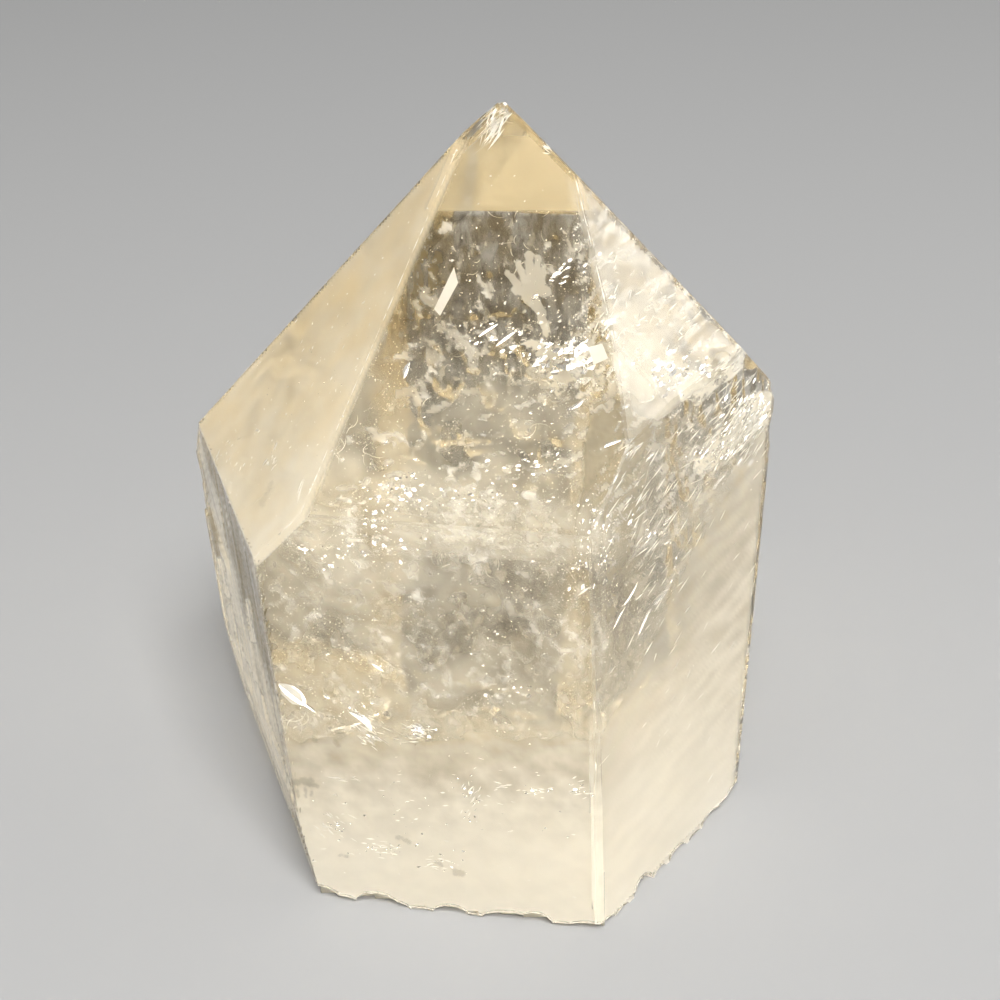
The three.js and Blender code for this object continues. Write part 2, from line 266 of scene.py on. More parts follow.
# Colours, and the density (1/m) of the amber tint.
TINT_COLOUR, TINT_DENSITY = (0.79, 0.61, 0.16, 1), 7.7
# The next colour is painted shade on the back wall, which darkens the window, and brown stain on the other
# unpolished walls.
STAIN_AND_SHADE_COLOUR = (0.13, 0.10, 0.065, 1)
MILK_COLOUR = (0.95, 0.90, 0.78, 1)
WARM_COLOUR = (0.86, 0.72, 0.46, 1)
# The next colour is painted shade in the dark sheets of the window and walls, and the colour of small brown
# marks.
SMOKE_AND_SHADE_COLOUR = (0.215, 0.165, 0.075, 1)
THREAD_COLOUR = (0.96, 0.93, 0.85, 1)
FLAKE_COLOUR, FLAKE_ROUGHNESS = (0.86, 0.84, 0.79, 1), 0.2
FILM_COLOUR, FILM_ROUGHNESS = (0.97, 0.95, 0.91, 1), 0.3
SAWN_DARK, SAWN_LIGHT = (0.80, 0.76, 0.68, 1), (0.97, 0.95, 0.90, 1)
WHITE = (1, 1, 1, 1)
# Shares: of the light that goes on through a sheet and through a thread, and of a film's mirror.
SHEET_THROUGH, THREAD_THROUGH, FILM_MIRROR = 0.5, 0.45, 0.25
# Tones of a soft cloud; 1 is amber, and 0 is dark brown: painted shade in the window sheets, brown marks in
# the small veils.
SMOKY_AND_SHADE, MILKY = 0, 0.5
# Noises: scale (1/m), detail, roughness, and the values where they begin and end.
MOTTLE, MOTTLE_STRETCH = (640, 4, 0.65, 0.38, 0.60), (1, 1, 0.4)
SAWN_GRAIN = (700, 6, 0.7, 0.2, 0.8)


def new_material(name):
    material = bpy.data.materials.new(name)
    material.use_nodes = True
    nodes = material.node_tree.nodes
    nodes.clear()
    nodes.new("ShaderNodeOutputMaterial").name = "out"
    return material, nodes


def wire(node, *values, **named):
    """Feeds a node's inputs, in order or by name, with numbers, colours or other nodes' outputs."""
    for place, value in (*enumerate(values), *named.items()):
        socket = node.inputs[place if isinstance(place, int) else place.replace("_", " ")]
        if isinstance(value, bpy.types.NodeSocket):
            node.id_data.links.new(value, socket)
        else:
            socket.default_value = value


def add_node(nodes, kind, *values, **named):
    """The first output of a new node that is fed as wire says."""
    node = nodes.new("ShaderNode" + kind)
    wire(node, *values, **named)
    return node.outputs[0]


def attribute_node(nodes, name):
    attribute = nodes.new("ShaderNodeAttribute")
    attribute.attribute_name = name
    return attribute.outputs["Fac"]


def noise_steps(nodes, place, scale, detail, roughness, low, high):
    """A noise from 0 to 1, cut off softly at two of its values."""
    grain = add_node(nodes, "TexNoise", Vector=place, Scale=scale, Detail=detail, Roughness=roughness)
    steps = add_node(nodes, "MapRange", Value=grain, From_Min=low, From_Max=high)
    steps.node.interpolation_type = "SMOOTHSTEP"
    return steps


def soft_body(nodes, colour, share_through):
    """White quartz that sends part of its light back and part on."""
    back, on = (add_node(nodes, kind, Color=colour) for kind in ("BsdfDiffuse", "BsdfTranslucent"))
    return add_node(nodes, "MixShader", share_through, back, on)


def see_through_sheet(nodes, body):
    """A clear sheet, covered as far as each spot's amount says."""
    clear = add_node(nodes, "BsdfTransparent")
    wire(nodes["out"], Surface=add_node(nodes, "MixShader", attribute_node(nodes, "amount"), clear, body))


def quartz_material():
    """Clear quartz with a faint amber tint; its wild back wall is mottled with dark brown painted shade,
    and its other unpolished walls with brown stain.
    """
    material, nodes = new_material("quartz")
    place = nodes.new("ShaderNodeTexCoord").outputs["Object"]
    stretched = add_node(nodes, "Mapping", Vector=place, Scale=MOTTLE_STRETCH)
    # This attribute holds painted shade on the back wall and brown stain on the other unpolished walls.
    stain_and_shade = add_node(nodes, "Math", attribute_node(nodes, "stain_and_shade"), noise_steps(nodes, stretched, *MOTTLE))
    stain_and_shade.node.operation = "MULTIPLY"
    colour = add_node(nodes, "MixRGB", stain_and_shade, WHITE, STAIN_AND_SHADE_COLOUR)
    surface = add_node(nodes, "BsdfPrincipled", Base_Color=colour, Roughness=attribute_node(nodes, "frost"),
                       IOR=QUARTZ_IOR, Transmission_Weight=1)
    tint = add_node(nodes, "VolumeAbsorption", Color=TINT_COLOUR, Density=TINT_DENSITY)
    wire(nodes["out"], Surface=surface, Volume=tint)
    return material


def milk_material():
    """Soft cloud: a see-through sheet that scatters light, by its tone dark brown (painted shade in some
    sheets, brown marks in others), white or amber.
    """
    material, nodes = new_material("milk")
    colour = add_node(nodes, "ValToRGB", attribute_node(nodes, "tone"))
    stops = colour.node.color_ramp.elements
    stops[0].color, stops[1].color = SMOKE_AND_SHADE_COLOUR, WARM_COLOUR
    stops.new(MILKY).color = MILK_COLOUR
    see_through_sheet(nodes, soft_body(nodes, colour, SHEET_THROUGH))
    return material


def fracture_material():
    """The lacy film of a healed fracture."""
    material, nodes = new_material("fracture")
    mirror = add_node(nodes, "BsdfGlossy", Color=FILM_COLOUR, Roughness=FILM_ROUGHNESS)
    soft = soft_body(nodes, MILK_COLOUR, SHEET_THROUGH)
    see_through_sheet(nodes, add_node(nodes, "MixShader", FILM_MIRROR, soft, mirror))
    return material


def white_material():
    """Threads and specks of white, clouded quartz."""
    material, nodes = new_material("clouded")
    wire(nodes["out"], Surface=soft_body(nodes, THREAD_COLOUR, THREAD_THROUGH))
    return material


def flake_material():
    """Flashing flakes: the mirrors of small cracks."""
    material, nodes = new_material("flake")
    wire(nodes["out"], Surface=add_node(
        nodes, "BsdfPrincipled", Base_Color=FLAKE_COLOUR, Metallic=1, Roughness=FLAKE_ROUGHNESS))
    return material


def sawn_material():
    """The sawn, ground foot."""
    material, nodes = new_material("sawn_base")
    grain = noise_steps(nodes, nodes.new("ShaderNodeTexCoord").outputs["Object"], *SAWN_GRAIN)
    colour = add_node(nodes, "MixRGB", grain, SAWN_DARK, SAWN_LIGHT)
    wire(nodes["out"], Surface=add_node(nodes, "BsdfDiffuse", Color=colour))
    return material


# ---------------------------------------------------------------- the crystal

# How frosted each unpolished wall and the chips are.
FROST = {"back": 0.10, "left": 0.15, "leftFoot": 0.22, "leftBack": 0.10, "rightBack": 0.05}
CHIPPED = 0.25
# How finely each unpolished wall is meshed, in mm.
WALL_STEP = {"back": 0.42, "left": 0.42, "leftFoot": 0.42, "leftBack": 0.8, "rightBack": 0.8}
# Relief of the unpolished walls, in layers: (cell across, cell up, depth) in mm.
RELIEF = {
    "back": ((1.5, 6.0, 0.30), (0.9, 1.3, 0.16), (0.45, 0.6, 0.05)),
    "left": ((0.8, 16.0, 0.22), (2.4, 22.0, 0.25), (0.5, 2.0, 0.06)),
    "leftFoot": ((1.4, 5.0, 0.18), (0.7, 1.2, 0.08)),
    "leftBack": ((7.0, 0.9, 0.05), (2.0, 2.0, 0.05)),
    "rightBack": ((9.0, 0.8, 0.03),),
}
# How far apart in the noise two layers lie, and over how many mm the relief fades out towards a
# wall's border.
LAYER_SHIFT, BORDER_FADE = 7.3, 1.2
# A flat face lies this near its plane (mm) and looks its way (cosine).
FLAT_GAP, FLAT_TURN = 0.05, 0.9995
# How deep (mm) a cut belongs to its wall, above what height, how far from the other faces, and how
# little it turns away (cosine) where it is nearer to them.
CUT_DEPTH, RIM_HEIGHT, INNER_GAP, CUT_TURN = 1.2, 2.6, 1.0, 0.6
BORDER_SAMPLE = 0.2
# The wall grid's jitter and its gap to the border, as shares of its step.
GRID_JITTER, GRID_GAP = 0.2, 0.6
# A ray that finds the wall below a spot starts this many mm outside and reaches this far.
RAY_START, RAY_REACH = 1, 5
# Points this near each other (m) are one.
WELD = 1e-6
# Kinds of face that aren't an unpolished wall.
PLAIN, CHIP, FOOT = -2, -1, -3


def face_kind(face):
    """The wall a face belongs to, or that it is polished, part of a chip or the sawn foot."""
    walls = list(RELIEF)
    centre = face.calc_center_median()
    gaps = {name: REACH[name] - normal.dot(centre) for name, normal in NORMALS.items()}
    for name, normal in NORMALS.items():
        if face.normal.dot(normal) > FLAT_TURN and gaps[name] < FLAT_GAP * MM:
            return walls.index(name) if name in RELIEF else FOOT if name == "foot" else PLAIN
    name = min(walls, key=lambda wall: gaps[wall])
    others = min(gap for plane, gap in gaps.items() if plane not in WALL_GROUP.get(name, (name,)))
    in_wall = face.normal.dot(NORMALS[name]) > CUT_TURN or others > INNER_GAP * MM
    in_wall = in_wall and gaps[name] < CUT_DEPTH * MM and centre.z > RIM_HEIGHT * MM
    return walls.index(name) if in_wall else CHIP


def wall_axes(name):
    normal = NORMALS[name]
    across = Vector((-normal.y, normal.x, 0)).normalized()
    return normal, across, normal.cross(across)


def relief_at(name, u, v):
    depth = 0
    for index, (wide, high, deep) in enumerate(RELIEF[name]):
        value = noise.noise(Vector((u / wide, v / high, LAYER_SHIFT * index)))
        depth += deep * (0.5 + 0.5 * value if index % 2 else abs(value))
    return depth


def stain_and_shade_at(name, place):
    """How brown an unpolished wall is: painted shade behind, darker high up, and streaks along its height
    on the left.
    """
    normal, across, up = wall_axes(name)
    u, v = across.dot(place) / MM, up.dot(place) / MM
    # Painted shade: the back wall is darkened, most of all high up, so the window through it shows dark.
    if name == "back":
        return 0.7 + 0.3 * smooth(place.z / MM, 30, 52)
    if name in WALL_GROUP["left"]:
        coarse = noise.noise(Vector((u / 1.1, v / 16, 3)))
        fine = noise.noise(Vector((u / 0.45, v / 5, 9)))
        streak = 0.5 + 0.9 * coarse + 0.5 * fine
        near_front = smooth((REACH["front"] - NORMALS["front"].dot(place)) / MM, 9, 1)
        return min(max(0.05 + 0.35 * near_front + 0.5 * streak * (0.4 + 0.6 * near_front), 0), 1)
    return 0.2


def wall_grid(name, flat, lines):
    """A jittered grid of triangles within a wall's flat border, and each point's gap to the border."""
    samples = []
    for first, last in lines:
        start, end = flat[first], flat[last]
        pieces = max(1, math.ceil((end - start).length / BORDER_SAMPLE))
        samples += [start.lerp(end, k / pieces) for k in range(pieces + 1)]
    tree = KDTree(len(samples))
    for index, spot in enumerate(samples):
        tree.insert((*spot, 0), index)
    tree.balance()
    step = WALL_STEP[name]
    draw = random.Random(list(RELIEF).index(name))
    low = Vector((min(p.x for p in flat), min(p.y for p in flat)))
    high = Vector((max(p.x for p in flat), max(p.y for p in flat)))
    points, gaps = list(flat), [0.0] * len(flat)
    row, v = 0, low.y
    while v < high.y:
        u = low.x + (step / 2 if row % 2 else 0)
        while u < high.x:
            spot = [place + draw.uniform(-GRID_JITTER, GRID_JITTER) * step for place in (u, v)]
            gap = tree.find((*spot, 0))[2]
            if gap > step * GRID_GAP:
                points.append(Vector(spot))
                gaps.append(gap)
            u += step
        row, v = row + 1, v + step * math.sin(math.radians(60))
    return points, gaps


def rebuild_wall(mesh, kind_key, name, solid):
    """Meshes one unpolished wall anew on a fine grid, keeping its border and the cuts in it."""
    kind = list(RELIEF).index(name)
    old = [face for face in mesh.faces if face[kind_key] == kind]
    inside = set(old)
    pairs = [edge for edge in mesh.edges if len(edge.link_faces) == 2]
    border = [edge for edge in pairs if sum(face in inside for face in edge.link_faces) == 1]
    normal, across, up = wall_axes(name)
    rim = list(dict.fromkeys(vert for edge in border for vert in edge.verts))
    flat = [Vector((across.dot(v.co) / MM, up.dot(v.co) / MM)) for v in rim]
    index_of = {vert: index for index, vert in enumerate(rim)}
    lines = [tuple(index_of[vert] for vert in edge.verts) for edge in border]
    points, gaps = wall_grid(name, flat, lines)
    spots, _, triangles, sources, _, _ = delaunay_2d_cdt(points, lines, [], 2, 1e-5)
    used = {index for triangle in triangles for index in triangle}
    verts = {}
    for index in used:
        source = sources[index][0] if sources[index] else None
        if source is not None and source < len(rim):
            verts[index] = rim[source]
            continue
        spot = spots[index]
        fade = smooth(gaps[source] if source is not None else 0, 0, BORDER_FADE)
        start = across * spot.x * MM + up * spot.y * MM + normal * (REACH[name] + RAY_START * MM)
        hit = solid.ray_cast(start, -normal, RAY_REACH * MM)[0]
        place = hit if hit else start - normal * RAY_START * MM
        verts[index] = mesh.verts.new(place - normal * relief_at(name, spot.x, spot.y) * fade * MM)
    bmesh.ops.delete(mesh, geom=old, context="FACES")
    for triangle in triangles:
        corners = [verts[index] for index in triangle]
        if all(vert.is_valid for vert in corners):
            face = mesh.faces.get(corners) or mesh.faces.new(corners)
            face[kind_key] = kind
            face.normal_update()
            if face.normal.dot(normal) < 0:
                face.normal_flip()


SEAM_ROUNDS = 6


def close_seams(mesh, kind_key):
    """Closes the few spots where a new wall meets its old border badly."""
    for turn in range(SEAM_ROUNDS):
        bad = [edge for edge in mesh.edges if len(edge.link_faces) != 2]
        if not bad:
            break
        if turn % 2:
            torn = {face for edge in bad for vert in edge.verts for face in vert.link_faces}
        else:
            torn = {face for edge in bad if len(edge.link_faces) > 2 for face in edge.link_faces}
        bmesh.ops.delete(mesh, geom=list(torn), context="FACES")
        rims = [edge for edge in mesh.edges if len(edge.link_faces) == 1]
        filled = bmesh.ops.holes_fill(mesh, edges=rims, sides=0)["faces"]
        for face in bmesh.ops.triangulate(mesh, faces=filled)["faces"]:
            face[kind_key] = CHIP
        loose = [edge for edge in mesh.edges if not edge.link_faces]
        bmesh.ops.delete(mesh, geom=loose, context="EDGES")
    bmesh.ops.recalc_face_normals(mesh, faces=mesh.faces)


def make_crystal():
    mesh = bmesh.new()
    mesh.from_mesh(NODE.data)
    bmesh.ops.remove_doubles(mesh, verts=mesh.verts, dist=WELD)
    kind_key = mesh.faces.layers.int.new("kind")
    for face in mesh.faces:
        face[kind_key] = face_kind(face)
    solid = BVHTree.FromBMesh(mesh)
    for name in RELIEF:
        rebuild_wall(mesh, kind_key, name, solid)
    close_seams(mesh, kind_key)
    # Each unpolished wall gets its frost and its brown: painted shade on the back wall, stain on the
    # others.
    frost = mesh.faces.layers.float.new("frost")
    stain_and_shade = mesh.faces.layers.float.new("stain_and_shade")
    walls = list(RELIEF)
    for face in mesh.faces:
        kind = face[kind_key]
        face.smooth = kind >= 0
        face.material_index = kind == FOOT
        face[stain_and_shade] = stain_and_shade_at(walls[kind], face.calc_center_median()) if kind >= 0 else 0
        face[frost] = FROST[walls[kind]] if kind >= 0 else CHIPPED if kind == CHIP else 0
    SKIN["tree"] = BVHTree.FromBMesh(mesh)
    piece = add_piece("quartz_point", mesh_data("quartz_point", mesh), quartz_material())
    piece.data.materials.append(sawn_material())
    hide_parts("crystal")


def add_piece(name, data, material):
    piece = bpy.data.objects.new(name, data)
    bpy.context.scene.collection.objects.link(piece)
    data.materials.append(material)
    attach(piece, "root")
    return piece


# ---------------------------------------------------------------- sheets inside

SHEET_MARGIN = 0.35
PIXELS_PER_MM = 8.0
SHEET_GRAIN = (1.2, 1.2, 0)
# How far apart in the noise two neighbouring sheets lie.
PLACE_SHIFT, GRAIN_SHIFT = (5.1, 2.3, 0), 7.7
# Billows: how strongly they vary, and from which value to which they grow full.
BILLOW_GAIN, BILLOW_STEPS = 0.9, (0.1, 0.9)
# Lace: how much its patches differ, how strong its grain is, how much its field closes its holes,
# the value it starts at, and its soft edge on either side of that.
PATCH_GAIN, LACE_GAIN, LACE_CLOSING, LACE_START, LACE_EDGE = 1.3, 0.8, 0.48, 0.78, (-0.04, 0.12)
# Veils: how strongly the grain frays an outline, and its soft edge in pixels.
FRAY_GAIN, VEIL_EDGE = 2.4, (-0.6, 0.9)
# What a sheet can say of itself. Its face, its span in the picture (x, y, x, y), its depth (mm; or
# with how much more there is across and down its span), its waves (length, height in mm) and the
# step of its grid (pixels). Its amount, how much it covers, and its tone: a number, or a rule over
# the span. fade: the share of the span that thins out towards its border. margin, soft: how near
# (mm) to the surface it ends, and over how many mm. shy: faces it thins out towards, over so many
# mm. lace: its grain's cell across and along (mm), and turn in the picture (degrees). cloud: the
# size of its billows (mm). skin: it follows the true, rough surface. even, cover, blur, ragged and
# flecks are shares, and ragged is in pixels.


def value_at(rule, *where):
    """A number as it is, or what a rule gives at a spot."""
    return rule(*where) if callable(rule) else rule


def picture_grain(x, y, wide, high, turn):
    """How many cells along and across a turned grain a pixel lies."""
    lean = math.radians(turn)
    along = (x * math.cos(lean) + y * math.sin(lean)) / PIXELS_PER_MM
    down = (y * math.cos(lean) - x * math.sin(lean)) / PIXELS_PER_MM
    return along / wide, down / high


def cloud_amount(place, field, sheet):
    """Billowing cover between 0 and the field's own strength."""
    spot = sheet["grain"] if "lace" in sheet else place / (sheet.get("cloud", 9) * MM)
    billow = 0.5 + BILLOW_GAIN * fractal(spot, 3)
    even = sheet.get("even", 0.35)
    return field * (even + (1 - even) * smooth(billow, *BILLOW_STEPS))


def lace_amount(place, field, sheet):
    """Cover of a lacy film, whose holes close as its field grows and open from patch to patch."""
    if field < 0.02:
        return 0
    closed = field * (1 + PATCH_GAIN * fractal(place / (sheet.get("cloud", 4) * MM), 2))
    lace = 0.5 + LACE_GAIN * fractal(sheet["grain"], 4)
    blur = sheet.get("blur", 0)
    low, high = LACE_EDGE
    return sheet["cover"] * smooth(lace + LACE_CLOSING * closed - LACE_START, low - blur, high + blur)


def capsule_amount(place, field, sheet):
    """Cover of a veil whose outline is a union of round-ended strokes, in pixels."""
    x, y = sheet["pixel"]
    cover = 0
    low, high = VEIL_EDGE
    rough = sheet["ragged"] * FRAY_GAIN * fractal(sheet["grain"], 3) if "ragged" in sheet else 0
    for x0, y0, r0, x1, y1, r1 in sheet["strokes"]:
        along = Vector((x1 - x0, y1 - y0))
        t = min(max(((x - x0) * along.x + (y - y0) * along.y) / max(along.length_squared, 1e-6), 0), 1)
        gap = math.hypot(x - x0 - along.x * t, y - y0 - along.y * t) - (r0 + (r1 - r0) * t)
        cover = max(cover, 1 - smooth(gap + rough, low, high + sheet.get("ragged", 0) / 3))
    return cover * field


def sheet_spot(sheet, s, t, shift):
    """A sheet's place at a share of its span, and what its borders leave of it: nothing outside."""
    x, y = sheet["pixel"]
    depth = sheet["depth"]
    depth, lean_x, lean_y = depth if isinstance(depth, tuple) else (depth, 0, 0)
    deep = depth + lean_x * (s - 0.5) + lean_y * (t - 0.5)
    place, ray = (skin_at if "skin" in sheet else seen_at)(x, y, sheet["face"], deep)
    waves = sheet.get("waves", ())
    wobble = sum(high * noise.noise(place / (wave * MM) + shift) for wave, high in waves)
    place = place + ray * wobble * MM
    room = depth_inside(place) / MM
    margin = sheet.get("margin", SHEET_MARGIN)
    if room < margin:
        return place, None
    edge = smooth(min(s, 1 - s, t, 1 - t), 0, sheet.get("fade", 0.15))
    edge *= smooth(room, margin, margin + sheet.get("soft", 0.8))
    for plane, reach in sheet.get("shy", {}).items():
        edge *= smooth((REACH[plane] - NORMALS[plane].dot(place)) / MM, SHEET_MARGIN, reach)
    return place, edge


def make_sheets(name, sheets, material, amount_at, least):
    """Wavy sheets, each laid out over a span of the view behind one face."""
    mesh = bmesh.new()
    amount = mesh.verts.layers.float.new("amount")
    tone = mesh.verts.layers.float.new("tone")
    for index, sheet in enumerate(sheets):
        x0, y0, x1, y1 = sheet["span"]
        step = sheet.get("step", 5)
        columns, rows = max(2, round((x1 - x0) / step)), max(2, round((y1 - y0) / step))
        shift = Vector([index * part for part in PLACE_SHIFT])
        grid = {}
        for i, j in itertools.product(range(columns + 1), range(rows + 1)):
            s, t = i / columns, j / rows
            sheet["pixel"] = x0 + (x1 - x0) * s, y0 + (y1 - y0) * t
            place, edge = sheet_spot(sheet, s, t, shift)
            if edge is None:
                continue
            grain = picture_grain(*sheet["pixel"], *sheet.get("lace", SHEET_GRAIN))
            sheet["grain"] = Vector((*grain, index * GRAIN_SHIFT))
            vert = mesh.verts.new(place)
            vert[amount] = amount_at(place + shift * 0.01, edge * value_at(sheet["amount"], s, t), sheet)
            vert[tone] = value_at(sheet.get("tone", MILKY), s, t, sheet)
            grid[i, j] = vert
        for i, j in itertools.product(range(columns), range(rows)):
            ring = [grid.get(spot) for spot in ((i, j), (i + 1, j), (i + 1, j + 1), (i, j + 1))]
            if all(ring) and max(vert[amount] for vert in ring) > least:
                mesh.faces.new(ring)
    for face in mesh.faces:
        face.smooth = True
    bmesh.ops.delete(mesh, geom=[v for v in mesh.verts if not v.link_faces], context="VERTS")
    add_piece(name, mesh_data(name, mesh), material)


BROAD = ((16, 4), (5, 1.2))
CRUMPLED = ((12, 4), (3, 0.8), (1.3, 0.3))
# The painted highlight down the rough left wall: a white line in strokes as for the veils, its tone and
# raggedness.
LEFT_HIGHLIGHT_LINE = [
    (235, 641, 3, 245, 673, 5), (245, 673, 5, 257, 699, 5), (257, 699, 5, 266, 726, 4),
    (266, 726, 4, 275, 752, 5), (275, 752, 5, 284, 780, 3), (284, 780, 3, 291, 806, 4),
    (229, 606, 2, 233, 638, 3), (219, 560, 2, 227, 596, 2), (246, 600, 1, 252, 640, 2),
]
HIGHLIGHT_TONE, HIGHLIGHT_RAGGED = 0.58, 1.5


def rough_tone(s, t, sheet):
    """Olive and white streaks down the rough left wall, darkest at its front edge, and its white line of
    painted highlight.
    """
    across = sheet["grain"].x * sheet["lace"][0] * PIXELS_PER_MM
    dark = 0.6 * smooth(across, 84, 112) - 0.1 * smooth(t, 0.45, 0.75) * smooth(across, 100, 84)
    lift = 0.36 * smooth(t, 0.25, 0.6) - 0.14
    tone = 0.08 + 0.40 * smooth(0.60 + lift + 2.2 * fractal(sheet["grain"], 3) - dark, 0, 1)
    # Painted highlight: the white line down the wall.
    painted_highlight = capsule_amount(None, 1, {**sheet, "strokes": LEFT_HIGHLIGHT_LINE, "ragged": HIGHLIGHT_RAGGED})
    return tone + (HIGHLIGHT_TONE - tone) * painted_highlight


def foot_tone(s, t, sheet):
    """Olive flecks that die out down the walls, where the stone turns evenly pale."""
    flecks = sheet.get("flecks", 0.36) * fractal(sheet["grain"], 5) * smooth(t, 0.75, 0.35)
    return 0.34 + 0.17 * smooth(t, 0.25, 0.85) + flecks


def behind(face, span, depth, **rest):
    """What lies behind a face, over a span of the picture."""
    return dict(rest, face=face, span=span, depth=depth)


MILK = [
    # even beige under the left slope
    behind("leftSlope", (180, 100, 480, 570), 1.1, waves=((20, 0.2),),
           amount=lambda s, t: 0.8 + 0.08 * smooth(t, 0.2, 0.6), fade=0.005, even=0.8, soft=0.5,
           tone=lambda s, t, sheet: 0.88 - 0.28 * smooth(t, 0.4, 1)
               + 0.3 * fractal(sheet["grain"] * 1.7, 3), shy=dict(frontSlope=1.2), step=3, margin=0.1,
           lace=(4, 12, 30)),
    # amber cap over the window, which is darkened with painted shade
    behind("frontSlope", (425, 95, 605, 213), 1.6, waves=((20, 0.2),),
           amount=lambda s, t: 0.52 * smooth(t, 0.1, 0.5), fade=0.01, even=0.9, soft=0.3, tone=0.98,
           shy=dict(leftSlope=1.5, rightSlope=1.5), step=3),
    # whitish under the right slope
    behind("rightSlope", (550, 130, 790, 420), 1.5, waves=((14, 0.6), (5, 0.2)), amount=0.6, fade=0.02,
           even=0.5, shy=dict(frontSlope=2), lace=(3, 9, 42)),
    # pale foot of the front and right walls
    behind("front", (245, 640, 625, 935), 1, waves=((9, 0.3),), step=3,
           amount=lambda s, t: 0.96 * smooth(t, 0.14, 0.6), fade=0.004, even=0.94, soft=0.1, margin=0.05,
           lace=(3.4, 2, 15), tone=foot_tone),
    behind("right", (590, 430, 785, 935), 1, waves=((9, 0.3),), step=3,
           amount=lambda s, t: 0.95 * smooth(t + 0.8 * s, 0.45, 1), fade=0.004, margin=0.05,
           shy=dict(rightBack=1.3), even=0.93, soft=0.1, flecks=0.22, lace=(0.9, 5, 40), tone=foot_tone),
    # clouds behind the front wall
    behind("front", (240, 500, 610, 900), 7, waves=BROAD, cloud=7, even=0.1,
           amount=lambda s, t: 0.55 + 0.38 * smooth(s, 0.7, 0), fade=0.1, shy=dict(foot=9), tone=0.43),
    behind("front", (240, 500, 610, 900), 18, waves=BROAD, cloud=8, even=0.2,
           amount=lambda s, t: 0.55 + 0.25 * smooth(t, 0.2, 0.6), fade=0.1, shy=dict(foot=9), tone=0.36),
    # clouds behind the right wall, thickest towards its outer edge
    behind("right", (595, 395, 785, 900), 7, waves=BROAD, even=0.2,
           amount=lambda s, t: 0.15 + 0.7 * smooth(s * 0.8 + t, 0.45, 1), fade=0.05, shy=dict(foot=9),
           lace=(3, 9, 38), tone=0.6),
    # the mist that thickens down the front slope
    behind("frontSlope", (290, 240, 640, 545), 11, waves=BROAD, cloud=6,
           amount=lambda s, t: 0.8 * smooth(t, 0.22, 0.8) + 0.15 * smooth(s, 0.28, 0.12), fade=0.06,
           even=0.3),
    # painted shade: dark sheets in the window, in the front wall and beside the front edge of the right
    # wall
    behind("frontSlope", (398, 213, 620, 400), 20, waves=((6, 1),), step=4,
           amount=lambda s, t: 0.6 * smooth(t, 1, 0.2)
               + 0.45 * smooth(s, 0.3, 0.1) * smooth(t, 1, 0.6), fade=0.01, even=0.2, lace=(1.6, 3.5, 5),
           tone=SMOKY_AND_SHADE),
    behind("front", (400, 525, 600, 700), 12, waves=((6, 1),), amount=0.3, fade=0.25, even=0.1,
           lace=(3, 5, 8), tone=SMOKY_AND_SHADE),
    behind("right", (598, 400, 765, 730), 5, waves=((6, 1),),
           amount=lambda s, t: 0.95 * smooth(t + 1.6 * s, 1.2, 0.5), fade=0.06, even=0.35,
           lace=(2, 7, 40), tone=0.12),
    # the streaked skin of the rough left wall
    behind("left", (188, 398, 318, 905), 0.6, step=2, skin=True, margin=0.05, amount=0.85, fade=0.001,
           even=1, soft=0.1, lace=(0.55, 14, -13), tone=rough_tone),
]

# Lace: cell across, cell along (mm) and turn in the picture (degrees).
FRACTURES = [
    behind("frontSlope", (400, 214, 618, 545), (24, 4, -6), step=2.2, lace=(1, 3, 6), waves=CRUMPLED,
           amount=lambda s, t: 0.26 + 0.14 * t, fade=0.03, cover=0.45),
    behind("frontSlope", (405, 216, 612, 400), (15, 3, -3), step=2.2, cover=0.5, lace=(1.4, 1.8, -25),
           waves=CRUMPLED, amount=lambda s, t: 0.16 + 0.32 * t, fade=0.05),
    behind("frontSlope", (330, 300, 625, 545), (9, 3, -3), step=2.2, cover=0.5, lace=(2.2, 1.2, -12),
           waves=CRUMPLED, amount=lambda s, t: 0.2 + 0.3 * t, fade=0.1),
    behind("front", (260, 510, 602, 880), (13, 6, 4), step=2.4, lace=(2, 2.6, 10), waves=CRUMPLED,
           amount=lambda s, t: 0.45 * smooth(t, 1.1, 0.8), fade=0.06, cover=0.45, blur=0.1),
    behind("front", (260, 510, 602, 885), (4.5, 2, -3), step=2.4, lace=(1.6, 1.2, 20), waves=CRUMPLED,
           amount=lambda s, t: 0.4 * smooth(t, 1.05, 0.75), fade=0.06, cover=0.42, blur=0.12),
    behind("rightSlope", (580, 180, 775, 400), 0.8, step=2.2, lace=(0.6, 2.6, 42), waves=((5, 0.15),),
           amount=lambda s, t: 0.3 + 0.15 * t, fade=0.06, cover=0.4, margin=0.1),
    behind("right", (600, 400, 780, 880), (7, -5, 2), step=2.4, lace=(0.8, 3.2, 38), waves=CRUMPLED,
           amount=lambda s, t: 0.5 * smooth(t, 1, 0.4), fade=0.08, cover=0.5),
    behind("right", (600, 400, 780, 640), (3, 0, 1), step=2.2, lace=(0.6, 2.4, 42),
           waves=((6, 1), (1.8, 0.3)), amount=lambda s, t: 0.45 * smooth(t - 0.3 * s, 0.9, 0.3),
           fade=0.06, cover=0.5),
    behind("rightSlope", (580, 200, 775, 415), 4, step=2.2, lace=(0.7, 2.2, 42), waves=((6, 1), (1.8, 0.3)),
           amount=lambda s, t: 0.34 + 0.24 * t, fade=0.06, cover=0.6),
]

